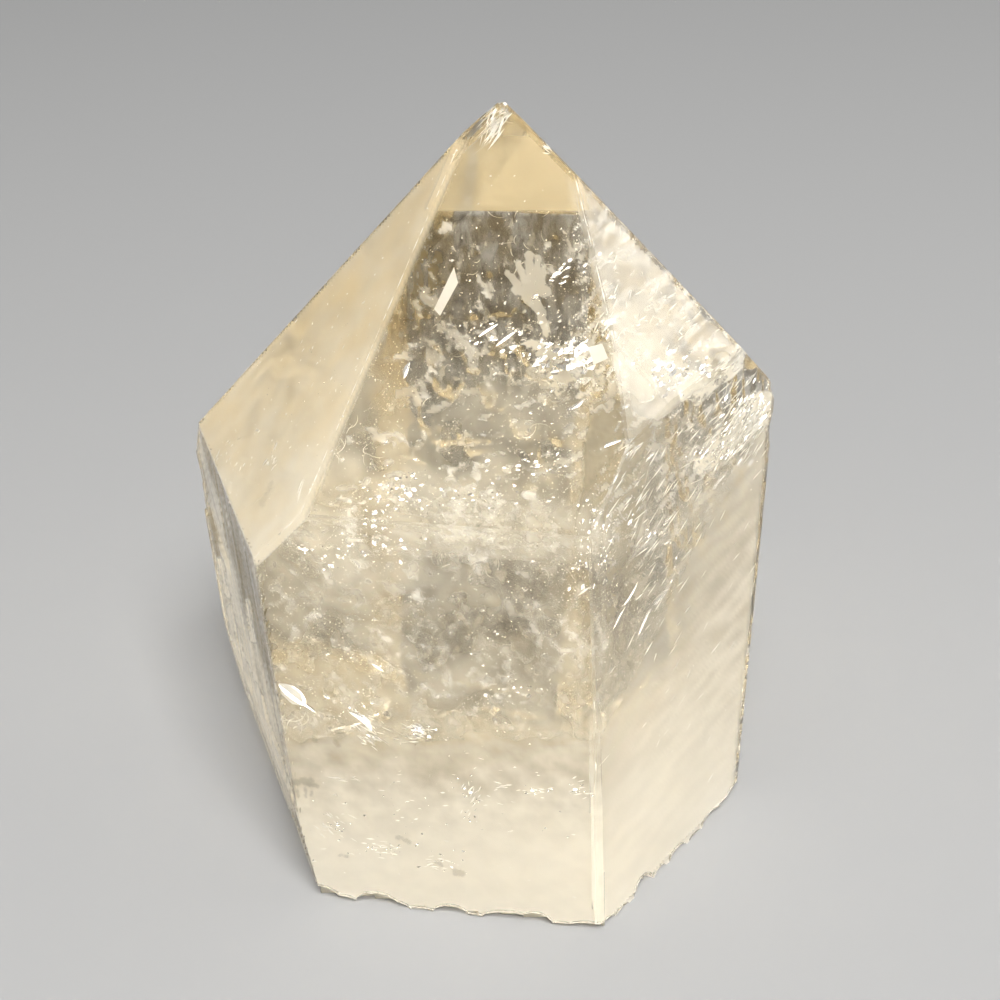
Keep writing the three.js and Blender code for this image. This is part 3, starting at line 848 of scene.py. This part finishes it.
# Clouds of tiny bubbles: face, span, depth, how many, their size (mm), the share of them kept
# over the span, and the billows they gather in (cell across, along in mm; turn in degrees).
DUST = {
    "dust_behind_front": [
        behind("front", (240, 500, 610, 880), (2.5, 20), count=34000, size=(0.04, 0.13),
               share=lambda s, t: 0.3 + 0.5 * smooth(s, 0.8, 0.1), billow=(4, 3, 20)),
    ],
    "dust_behind_slopes": [
        behind("frontSlope", (300, 230, 635, 545), (5, 22), count=26000, size=(0.04, 0.13),
               share=lambda s, t: 0.1 + 0.6 * smooth(t, 0.1, 0.8), billow=(4, 2.5, -15)),
        behind("rightSlope", (580, 190, 775, 415), (1.5, 6), count=7000, size=(0.07, 0.18),
               share=lambda s, t: 0.3 + 0.5 * t, billow=(2, 6, 42)),
    ],
    "dust_behind_right": [
        behind("right", (595, 400, 785, 880), (2, 14), count=24000, size=(0.04, 0.13),
               share=lambda s, t: 0.5 + 0.4 * smooth(s + t, 0.5, 1.2), billow=(2, 6, 38)),
    ],
}

# Veils with a shape of their own. Each stroke: x, y, radius at one end and at the other.
VEILS = [
    # a pale veil like an open hand
    behind("frontSlope", (500, 244, 560, 340), (9, 2, -2), step=1, waves=((4, 0.6),), amount=0.55,
           fade=0.01, ragged=1.2, lace=(0.5, 0.9, -20),
           strokes=[(508, 273, 3, 519, 287, 4.5), (518.5, 262, 2.4, 525, 283, 4),
                    (529, 255, 4.2, 531, 284, 5), (537.5, 258, 3.2, 538, 284, 4.5),
                    (543.5, 266, 2.4, 541, 286, 4), (517, 290, 5.5, 545, 291, 6),
                    (530, 296, 8, 541, 312, 5), (541, 312, 5, 546, 334, 3)]),
    # a flat grey-white flake beside the bright burst
    behind("frontSlope", (590, 330, 630, 375), 5, step=1.2, waves=((4, 0.2),), amount=0.55, fade=0.01,
           strokes=[(601, 345, 4, 613, 349, 5), (604, 356, 5, 612, 362, 4)]),
    # the light corner under the burst
    behind("rightSlope", (596, 350, 665, 445), 1, step=2, waves=((4, 0.2),), amount=0.6, fade=0.02,
           ragged=2, lace=(0.8, 2.4, 42),
           strokes=[(616, 362, 12, 640, 388, 16), (626, 392, 10, 634, 420, 9)]),
    # broad soft lights in the burst
    behind("frontSlope", (500, 320, 620, 405), 10, step=1.5, waves=((4, 0.8),), amount=0.85, fade=0.02,
           ragged=5, lace=(0.6, 1.4, 60),
           strokes=[(545, 366, 8, 560, 352, 7), (563, 366, 9, 592, 352, 7), (556, 384, 8, 572, 378, 6),
                    (532, 344, 5, 548, 352, 6), (585, 372, 6, 603, 380, 4)]),
    behind("right", (680, 390, 775, 480), 2.6, step=1.5, soft=0.2, waves=((4, 0.5),), amount=1, fade=0.02,
           ragged=6, lace=(0.5, 1.6, 40),
           strokes=[(762, 402, 13, 748, 430, 13), (748, 424, 13, 724, 446, 10),
                    (724, 444, 8, 700, 466, 6)]),
    behind("rightSlope", (630, 325, 775, 412), 2.2, step=1.5, soft=0.2, waves=((4, 0.5),), amount=0.8,
           fade=0.02, ragged=7, lace=(0.5, 1.8, 42),
           strokes=[(650, 358, 8, 686, 382, 11), (686, 382, 9, 716, 384, 8), (728, 366, 7, 756, 388, 13),
                    (640, 340, 6, 664, 352, 6)]),
    # brown marks low in the front wall, and a smudge under the left slope
    behind("front", (285, 730, 475, 885), 0.4, step=1.2, waves=((2, 0.05),), amount=0.26, margin=0.1,
           fade=0.01, tone=SMOKY_AND_SHADE, soft=0.2, ragged=1.2, lace=(0.5, 0.5, 0),
           strokes=[(397, 837, 1.5, 409, 842, 1.8), (340, 855, 1, 347, 857, 1),
                    (294, 782, 2.5, 310, 781, 3.5), (310, 784, 2, 318, 786, 1.5),
                    (336, 743, 2.5, 338, 745, 2), (314, 739, 2, 316, 740, 2), (456, 872, 3, 464, 874, 2),
                    (436, 862, 1.5, 442, 866, 1.5), (297, 790, 1.2, 298, 796, 1),
                    (305, 788, 1, 306, 797, 1.2), (312, 790, 1, 311, 795, 0.8)]),
    behind("front", (410, 735, 460, 800), 4, step=1.5, waves=((2, 0.2),), amount=0.22, fade=0.02,
           tone=SMOKY_AND_SHADE, ragged=2.5, lace=(0.7, 2, 4),
           strokes=[(430, 752, 4, 431, 776, 5), (441, 756, 2.5, 442, 780, 3)]),
    behind("leftSlope", (250, 470, 285, 515), 0.6, step=1.2, amount=0.16, fade=0.02, tone=0.1, soft=0.2,
           ragged=2, lace=(0.5, 1.5, 30), strokes=[(271, 484, 2, 262, 504, 3)]),
    # the thin dark upright mark in the right wall
    behind("right", (695, 690, 715, 780), 1.4, step=1.2, amount=0.45, fade=0.02, tone=SMOKY_AND_SHADE, soft=0.2,
           strokes=[(708, 702, 1, 705, 740, 2.4), (705, 740, 2.4, 703, 768, 0.8)]),
    # painted highlight: a white line down the rough left wall
    behind("left", (200, 400, 310, 820), 0.34, step=1.5, soft=0.05, amount=1, fade=0.01, skin=True,
           margin=0.05, lace=(0.4, 3, -13), ragged=2, strokes=LEFT_HIGHLIGHT_LINE),
]


# ---------------------------------------------------------------- dust inside

CORNERS = [Vector(place) / math.sqrt(3) for place in ((1, 1, 1), (1, -1, -1), (-1, 1, -1), (-1, -1, 1))]
SIDES = ((0, 1, 2), (0, 3, 1), (0, 2, 3), (1, 3, 2))
DUST_MARGIN = 0.3
# The share of a span that thins out towards its border, and the billow from nothing to full.
DUST_FADE, DUST_BILLOW = 0.08, (0.3, 0.75)


def make_dust(name, clouds, material, draw):
    """Bubbles too small to see singly, gathered in billows behind a face."""
    points, triangles = [], []
    for cloud in clouds:
        x0, y0, x1, y1 = cloud["span"]
        for _ in range(cloud["count"]):
            s, t, depth = draw.random(), draw.random(), draw.uniform(*cloud["depth"])
            x, y = x0 + (x1 - x0) * s, y0 + (y1 - y0) * t
            billow = 0.5 + fractal(Vector((*picture_grain(x, y, *cloud["billow"]), depth / 4)), 4)
            share = cloud["share"](s, t) * smooth(min(s, 1 - s, t, 1 - t), 0, DUST_FADE)
            if draw.random() > share * smooth(billow, *DUST_BILLOW):
                continue
            place, _ = seen_at(x, y, cloud["face"], depth)
            if depth_inside(place) < DUST_MARGIN * MM:
                continue
            small, large = cloud["size"]
            size = (small + (large - small) * draw.random() ** 3) * MM
            spin = Quaternion([draw.gauss(0, 1) for _ in range(4)]).normalized()
            first = len(points)
            points += [place + spin @ corner * size for corner in CORNERS]
            triangles += [[first + k for k in side] for side in SIDES]
    data = bpy.data.meshes.new(name)
    data.from_pydata(points, [], triangles)
    add_piece(name, data, material)


# ---------------------------------------------------------------- flakes inside

# How far inside the crystal each kind stays and how thick it is, in mm.
CLEARANCE, BRUISE_CLEARANCE, WEAR_CLEARANCE = 0.1, 0.06, 0.02
FLAKE_THICKNESS, SLIVER_THICKNESS, CURL_THICKNESS = 0.03, 0.06, 0.03
BRUISE_THICKNESS, WEAR_THICKNESS = 0.05, 0.04
BRUISE_DEPTH, SPECK_DEPTH, WEAR_DEPTH = (0.15, 1.4), (0.12, 0.3), (0.10, 0.16)
# How much headings and ways to face vary, in degrees.
HEADING_SPREAD, BRUISE_SPREAD, PLATE_TILT, LOOSE_TILT = 12, 9, 8, 25
# The points of a curve, and where a streak has its own: shares of its half length.
CURVE = [k / 8 for k in range(9)]
STREAK = (-1, -0.3, 0.3, 1)

# Clusters of bright flakes, by face. Each has an area (centre x, y, spread x, y, how many, depth
# low, high in mm), size low, high (mm), stretch, heading in the picture and tilt (degrees).
CLUSTERS = [
    ("frontSlope", [
        (566, 358, 17, 10, 60, 8, 11, 0.5, 2, 1.6, -28, 6),
        (545, 345, 26, 14, 90, 8, 12, 0.2, 0.9, 1.8, -30, 10),
        (559, 273, 5, 6, 9, 7, 9, 0.6, 1.3, 3, -38, 5),
        (574, 250, 9, 14, 16, 8, 12, 0.2, 0.8, 2.2, -45, 9),
        (536, 297, 10, 12, 36, 8, 10, 0.15, 0.6, 1.8, -20, 10),
        (500, 332, 26, 9, 50, 9, 12, 0.2, 0.8, 2.2, -35, 10),
        (470, 290, 40, 40, 60, 9, 20, 0.1, 0.35, 1.6, -40, 14),
        (560, 420, 30, 25, 80, 9, 16, 0.12, 0.7, 1.8, -15, 12),
        (556, 464, 26, 6, 50, 7, 10, 0.12, 0.65, 2, -8, 8),
        (420, 480, 60, 30, 44, 9, 16, 0.12, 0.6, 1.6, -10, 14),
        (450, 400, 90, 60, 80, 4, 14, 0.08, 0.3, 1.6, -10, 14),
    ]),
    ("rightSlope", [
        (680, 374, 24, 12, 120, 0.8, 2, 0.3, 1.4, 2, -32, 9),
        (640, 330, 25, 40, 50, 1.5, 5, 0.1, 0.5, 2, -40, 12),
        (618, 320, 6, 14, 30, 2, 4, 0.2, 0.8, 2, -60, 9),
    ]),
    ("right", [
        (750, 418, 12, 16, 220, 0.8, 2.3, 0.3, 1.6, 2.4, -48, 10),
        (724, 448, 14, 10, 120, 0.8, 2.3, 0.3, 1.4, 3, -42, 10),
    ]),
    ("rightSlope", [(748, 382, 12, 8, 90, 0.6, 1.9, 0.3, 1.4, 2.6, -45, 10)]),
    ("right", [
        (690, 420, 30, 20, 50, 3, 8, 0.15, 0.7, 2.4, -42, 12),
        (650, 532, 12, 9, 34, 4, 7, 0.4, 1.6, 1.8, -35, 8),
        (690, 470, 30, 30, 50, 4, 9, 0.15, 0.7, 2.4, -45, 12),
        (690, 570, 30, 50, 70, 4, 10, 0.15, 0.8, 2.6, -55, 12),
        (640, 765, 8, 8, 24, 3, 6, 0.4, 1.2, 1.4, -30, 9),
    ]),
    ("front", [
        (400, 518, 14, 18, 90, 5, 8, 0.12, 0.75, 1.5, 10, 9),
        (478, 518, 26, 8, 60, 5, 8, 0.12, 0.65, 2, 0, 9),
        (338, 548, 20, 10, 60, 4, 8, 0.12, 0.8, 1.6, 10, 9),
        (588, 560, 9, 26, 80, 4, 7, 0.12, 0.75, 1.6, -70, 9),
        (430, 620, 90, 50, 120, 5, 14, 0.1, 0.6, 1.6, -20, 14),
        (510, 690, 14, 8, 36, 6, 9, 0.15, 0.9, 1.4, -10, 8),
        (350, 705, 26, 8, 40, 5, 8, 0.15, 0.8, 1.4, 30, 9),
        (538, 791, 8, 2, 18, 0.3, 0.8, 0.2, 0.8, 1.8, -4, 8),
        (580, 790, 7, 4, 20, 0.3, 0.8, 0.2, 0.8, 1.6, -20, 8),
        (414, 735, 8, 5, 18, 0.5, 1.5, 0.2, 0.8, 1.6, 10, 9),
        (384, 850, 12, 3, 20, 0.3, 0.8, 0.12, 0.5, 1.4, 0, 9),
        (470, 800, 5, 10, 22, 0.3, 0.8, 0.2, 0.8, 1.6, -70, 9),
        (440, 862, 8, 4, 14, 0.3, 0.8, 0.12, 0.5, 1.4, 0, 9),
        (334, 826, 8, 6, 14, 0.3, 0.8, 0.12, 0.6, 1.4, 0, 9),
        (530, 775, 60, 9, 20, 4, 8, 0.2, 0.8, 1.4, -10, 9),
        (460, 800, 14, 8, 16, 4, 7, 0.3, 1.2, 1.4, -30, 9),
        (420, 815, 80, 26, 60, 0.3, 0.9, 0.08, 0.4, 1.4, 0, 12),
    ]),
    ("leftSlope", [(320, 350, 60, 80, 46, 0.4, 0.9, 0.08, 0.22, 1.4, 0, 10)]),
    ("frontSlope", [(500, 170, 30, 30, 40, 0.4, 8, 0.08, 0.22, 1.4, 0, 12)]),
]

# Long bright slivers, by face: depth (mm), start x, y, end x, y, width (mm), bend (mm).
SLIVERS = [
    ("frontSlope", [
        (8, 478, 337, 498, 324, 0.3, 0.1), (8, 496, 346, 516, 331, 0.35, 0.1),
        (6, 606, 378, 628, 352, 0.5, 0.2), (6, 585, 398, 566, 410, 0.4, 0.2),
        (4, 404, 378, 410, 362, 0.5, 0.1), (4, 597, 450, 622, 440, 0.3, 0.1),
    ]),
    ("right", [
        (3, 634, 449, 644, 442, 0.22, 0), (4, 645, 462, 655, 452, 0.45, 0.1),
        (4, 613, 630, 626, 606, 0.4, 0.2), (4, 622, 607, 638, 581, 0.35, -0.2),
        (4, 638, 636, 652, 606, 0.6, 0.2), (4, 652, 606, 672, 582, 0.7, -0.2),
        (5, 636, 600, 645, 592, 0.25, 0.1), (3, 703, 612, 718, 598, 0.55, 0.2),
        (3, 700, 478, 716, 462, 0.9, 0.2), (3, 712, 492, 726, 474, 0.5, 0.2),
        (5, 664, 545, 673, 537, 0.25, 0), (5, 630, 560, 648, 540, 0.6, 0.2),
    ]),
    ("front", [
        (3, 278, 684, 306, 706, 1.5, 0.3), (3, 302, 703, 316, 713, 0.35, 0.1),
        (3, 349, 712, 372, 732, 0.8, 0.5), (3, 366, 734, 375, 742, 0.5, 0.2),
        (2, 334, 777, 349, 780, 0.8, 0), (5, 372, 664, 384, 672, 0.3, 0.1),
        (4, 409, 726, 424, 734, 0.9, 0.4),
    ]),
]

# Flat pale plates by their corners: face, depth (mm), corners.
PLATES = [
    ("frontSlope", 8, ((454, 267), (458, 283), (440, 316), (434, 309), (444, 288))),
    ("front", 3, ((279, 683), (290, 685), (301, 694), (304, 706), (292, 704), (281, 694))),
    ("right", 3, ((703, 462), (716, 455), (719, 463), (706, 470))),
    ("rightSlope", 3, ((597, 344), (612, 341), (618, 356), (603, 362))),
]

# White streaks at the bruised tip and shoulder, in the walls and in the pale foot, by face: an
# area without its depth, length (mm), heading (degrees).
BRUISES = [
    ("frontSlope", [
        (492, 126, 6, 11, 46, 2.2, -62), (503, 112, 4, 4, 22, 1.2, -45), (545, 148, 4, 4, 8, 1, -150),
    ]),
    ("leftSlope", [(478, 124, 5, 8, 12, 1.4, -62)]),
    ("rightSlope", [
        (680, 300, 35, 40, 50, 1.3, -42), (612, 290, 5, 45, 30, 1, -50),
        (745, 380, 14, 10, 130, 1.8, -45),
    ]),
    ("right", [
        (744, 422, 14, 18, 240, 2, -45), (690, 520, 40, 70, 90, 1.8, -48),
        (640, 480, 25, 40, 50, 1.6, -48),
    ]),
    ("front", [
        (471, 800, 5, 10, 30, 1, -60), (414, 734, 9, 5, 30, 0.9, 10), (538, 791, 9, 2, 20, 0.8, -4),
        (580, 790, 7, 5, 24, 0.8, -20), (380, 849, 14, 4, 34, 0.8, 0), (440, 862, 9, 5, 24, 0.7, 0),
        (334, 824, 9, 8, 36, 0.9, 40), (341, 779, 6, 1.5, 14, 1.1, 10), (372, 736, 12, 8, 36, 1, 35),
        (500, 787, 4, 1.5, 10, 0.7, 0), (430, 800, 90, 30, 60, 0.6, 0),
    ]),
    ("right", [(690, 690, 40, 70, 50, 1.6, -48)]),
    ("leftSlope", [
        (217, 455, 0.8, 0.8, 5, 2.2, -58), (275, 446, 0.6, 0.6, 4, 2, -76),
        (300, 489, 0.6, 3, 6, 1.6, -80), (258, 430, 1.5, 1, 5, 0.7, -20), (270, 462, 4, 3, 14, 0.7, -45),
        (235, 455, 10, 14, 18, 0.5, -45), (330, 350, 45, 60, 50, 0.5, -50),
    ]),
]

# Areas of fine curled threads, by face.
CURLS = [
    ("frontSlope", [
        (470, 260, 45, 30, 14, 12, 26), (560, 250, 30, 30, 6, 12, 26), (480, 370, 60, 45, 16, 8, 24),
        (350, 445, 14, 12, 9, 3, 5),
    ]),
    ("front", [(450, 590, 90, 50, 16, 6, 20), (292, 730, 8, 10, 9, 2, 3), (420, 734, 8, 5, 5, 3, 5)]),
    ("right", [(680, 520, 40, 70, 8, 4, 14)]),
]

# Fine white specks just under the polished faces, by face: x span, y span, how many.
SPECKS = [
    ("leftSlope", [(200, 460, 140, 530, 380)]),
    ("frontSlope", [(320, 640, 120, 530, 170)]),
    ("rightSlope", [(580, 770, 190, 410, 160)]),
    ("front", [(260, 600, 540, 900, 90)]),
    ("right", [(600, 770, 420, 860, 90)]),
]

# Ridges and the share of their length that is worn.
WORN_EDGES = {
    ("leftSlope", "frontSlope"): 0.8, ("frontSlope", "rightSlope"): 0.8, ("leftSlope", "front"): 0.6,
    ("frontSlope", "front"): 0.06, ("rightSlope", "right"): 0.3, ("front", "right"): 0.12,
    ("rightSlope", "rightBackSlope"): 0.9, ("leftSlope", "leftBackSlope"): 0.9,
    ("backSlope", "leftBackSlope"): 0.6, ("backSlope", "rightBackSlope"): 0.6, ("leftSlope", "left"): 0.7,
}


def edge_ends(first, second):
    """The two ends of the ridge where two faces meet."""
    one, two = NORMALS[first], NORMALS[second]
    along = one.cross(two)
    start = (two.cross(along) * REACH[first] + along.cross(one) * REACH[second]) / along.length_squared
    along.normalize()
    low, high = -1.0, 1.0
    for name, normal in NORMALS.items():
        rise = normal.dot(along)
        if name in (first, second) or abs(rise) < 1e-6:
            continue
        reach = (REACH[name] - normal.dot(start)) / rise
        low, high = (low, min(high, reach)) if rise > 0 else (max(low, reach), high)
    return start + along * low, start + along * high


def flash_normal(face, ray, draw, tilt):
    """The way a flake faces so that it mirrors the key light to the eye, give or take."""
    wobble = Vector((draw.gauss(0, 1), draw.gauss(0, 1), draw.gauss(0, 1)))
    return ((key_inside(face) - ray).normalized() + wobble * math.radians(tilt)).normalized()


def picture_heading(degrees_down, normal):
    turn = math.radians(degrees_down)
    along = VIEW_RIGHT * math.cos(turn) - VIEW_UP * math.sin(turn)
    return (along - normal * along.dot(normal)).normalized()


def has_room(points, least):
    """Whether all these points lie so many mm inside the crystal."""
    return min(depth_inside(point) for point in points) > least * MM


def add_flake(mesh, centre, normal, along, length, width, draw):
    """A thin closed chip with a jagged outline."""
    corners = draw.choice((5, 6, 7, 8))
    side = normal.cross(along)
    offset = draw.uniform(0, math.tau)
    ring = []
    for k in range(corners):
        turn = offset + math.tau * (k + draw.uniform(-0.35, 0.35)) / corners
        grow = draw.uniform(0.35, 1.25)
        reach = along * math.cos(turn) * length / 2 * grow + side * math.sin(turn) * width / 2 * grow
        ring.append(mesh.verts.new(centre + reach))
    close_plate(mesh, ring, centre, normal)


def close_plate(mesh, ring, centre, normal):
    """Closes a ring of corners into a thin plate, thickest at its centre."""
    top, bottom = (mesh.verts.new(centre + normal * side * FLAKE_THICKNESS / 2 * MM) for side in (1, -1))
    for first, second in zip(ring, ring[1:] + ring[:1]):
        mesh.faces.new((first, second, top))
        mesh.faces.new((second, first, bottom))


def add_ribbon(mesh, points, width, normal, thickness):
    """A thin closed strip along the points, widest in its middle; width and thickness in mm."""
    width, thickness = width * MM, thickness * MM
    last = len(points) - 1
    rings = []
    for k, point in enumerate(points):
        along = points[min(k + 1, last)] - points[max(k - 1, 0)]
        side = normal.cross(along).normalized()
        swell = math.sin(math.pi * k / last) ** 0.7
        ring = [point] if k in (0, last) else [
            point + side * width / 2 * swell, point + normal * thickness / 2 * swell,
            point - side * width / 2 * swell, point - normal * thickness / 2 * swell,
        ]
        rings.append([mesh.verts.new(place) for place in ring])
    for first, second in zip(rings, rings[1:]):
        for k in range(4):
            corners = [first[k % len(first)], first[(k + 1) % len(first)],
                       second[(k + 1) % len(second)], second[k % len(second)]]
            mesh.faces.new(list(dict.fromkeys(corners)))


def rows_of(table):
    """The rows of a table that is gathered by face, each with its face."""
    return ((face, *row) for face, rows in table for row in rows)


def scattered(draw, face, x, y, spread_x, spread_y, count, near, far):
    """The spots of an area, each with the ray that shows it."""
    for _ in range(count):
        yield seen_at(draw.gauss(x, spread_x), draw.gauss(y, spread_y), face, draw.uniform(near, far))


def add_clusters(mesh, draw):
    for *area, small, large, stretch, heading, tilt in rows_of(CLUSTERS):
        for place, ray in scattered(draw, *area):
            length = (small + (large - small) * draw.random() ** 2) * MM
            normal = flash_normal(area[0], ray, draw, tilt)
            along = picture_heading(heading + draw.gauss(0, HEADING_SPREAD), normal)
            if depth_inside(place) > length * 0.6 + CLEARANCE * MM:
                add_flake(mesh, place, normal, along, length, length / stretch, draw)


def add_slivers(mesh, draw):
    for face, depth, x0, y0, x1, y1, width, bend in rows_of(SLIVERS):
        start, ray = seen_at(x0, y0, face, depth)
        end, _ = seen_at(x1, y1, face, depth)
        normal = flash_normal(face, ray, draw, 0)
        side = normal.cross(end - start).normalized()
        points = [start.lerp(end, k) + side * bend * MM * math.sin(math.pi * k) for k in CURVE]
        if has_room(points, CLEARANCE):
            add_ribbon(mesh, points, width, normal, SLIVER_THICKNESS)


def add_curls(mesh, draw):
    for area in rows_of(CURLS):
        for place, ray in scattered(draw, *area):
            normal = flash_normal(area[0], ray, draw, LOOSE_TILT).normalized()
            along = picture_heading(draw.uniform(0, 360), normal)
            radius = draw.uniform(0.4, 1.6) * MM
            sweep = draw.uniform(0.8, 3.0)
            inward = normal.cross(along)
            middle = place + inward * radius
            points = []
            for turn in (sweep * (k - 0.5) for k in CURVE):
                points.append(middle - inward * radius * math.cos(turn) + along * radius * math.sin(turn))
            if has_room(points, CLEARANCE):
                add_ribbon(mesh, points, draw.uniform(0.04, 0.09), normal, CURL_THICKNESS)


def add_plates(mesh, draw):
    for face, depth, corners in PLATES:
        ring = [seen_at(x, y, face, depth) for x, y in corners]
        normal = flash_normal(face, ring[0][1], draw, PLATE_TILT)
        middle = sum((place for place, _ in ring), Vector()) / len(ring)
        close_plate(mesh, [mesh.verts.new(place) for place, _ in ring], middle, normal)


def add_bruises(mesh, draw):
    for *area, long, heading in rows_of(BRUISES):
        for place, ray in scattered(draw, *area, *BRUISE_DEPTH):
            normal = flash_normal(area[0], ray, draw, LOOSE_TILT)
            along = picture_heading(heading + draw.gauss(0, BRUISE_SPREAD), normal)
            half = along * long * MM * draw.uniform(0.3, 0.7)
            points = [place + half * share for share in STREAK]
            if has_room(points, BRUISE_CLEARANCE):
                add_ribbon(mesh, points, draw.uniform(0.06, 0.22), normal, BRUISE_THICKNESS)


def add_worn_edges(mesh, draw):
    for (first, second), share_worn in WORN_EDGES.items():
        start, end = edge_ends(first, second)
        inward = -(NORMALS[first] + NORMALS[second]).normalized()
        side = NORMALS[first].cross(NORMALS[second]).normalized()
        spot, length = 0.0, (end - start).length / MM
        while spot < length - 1.5:
            run = min(draw.uniform(0.3, 2.4), length - spot)
            middle = start.lerp(end, (spot + run / 2) / length) + inward * draw.uniform(*WEAR_DEPTH) * MM
            points = [middle + side * run * MM * share / 2 for share in STREAK]
            if draw.random() < share_worn and has_room(points, WEAR_CLEARANCE):
                add_ribbon(mesh, points, draw.uniform(0.05, 0.14), inward, WEAR_THICKNESS)
            spot += run * draw.uniform(0.9, 1.3)


def add_specks(mesh, draw):
    for face, x0, x1, y0, y1, count in rows_of(SPECKS):
        for _ in range(count):
            x, y = draw.uniform(x0, x1), draw.uniform(y0, y1)
            place, _ = seen_at(x, y, face, draw.uniform(*SPECK_DEPTH))
            size = (0.05 + 0.2 * draw.random() ** 2) * MM
            normal = NORMALS[face]
            if depth_inside(place) > size * 0.4:
                along = picture_heading(draw.uniform(0, 360), normal)
                add_flake(mesh, place, normal, along, size * draw.uniform(1, 2), size, draw)


def make_small(name, material, seed, makers):
    """One piece out of many small closed parts."""
    mesh = bmesh.new()
    draw = random.Random(seed)
    for add_parts in makers:
        add_parts(mesh, draw)
    bmesh.ops.recalc_face_normals(mesh, faces=mesh.faces)
    add_piece(name, mesh_data(name, mesh), material)


# ---------------------------------------------------------------- all together

make_camera()
make_crystal()
milk = milk_material()
make_sheets("milky_clouds", MILK, milk, cloud_amount, 0.02)
make_sheets("veils", VEILS, milk, capsule_amount, 0.02)
make_sheets("healed_fractures", FRACTURES, fracture_material(), lace_amount, 0.1)
clouded = white_material()
draw_dust = random.Random(21)
for dust_name, dust_clouds in DUST.items():
    make_dust(dust_name, dust_clouds, clouded, draw_dust)
make_small("bright_flakes", flake_material(), 5, (add_clusters, add_slivers))
make_small("threads", clouded, 8, (add_curls, add_plates, add_bruises, add_worn_edges, add_specks))
make_floor()
make_lights()
link_lights()
set_render_options()
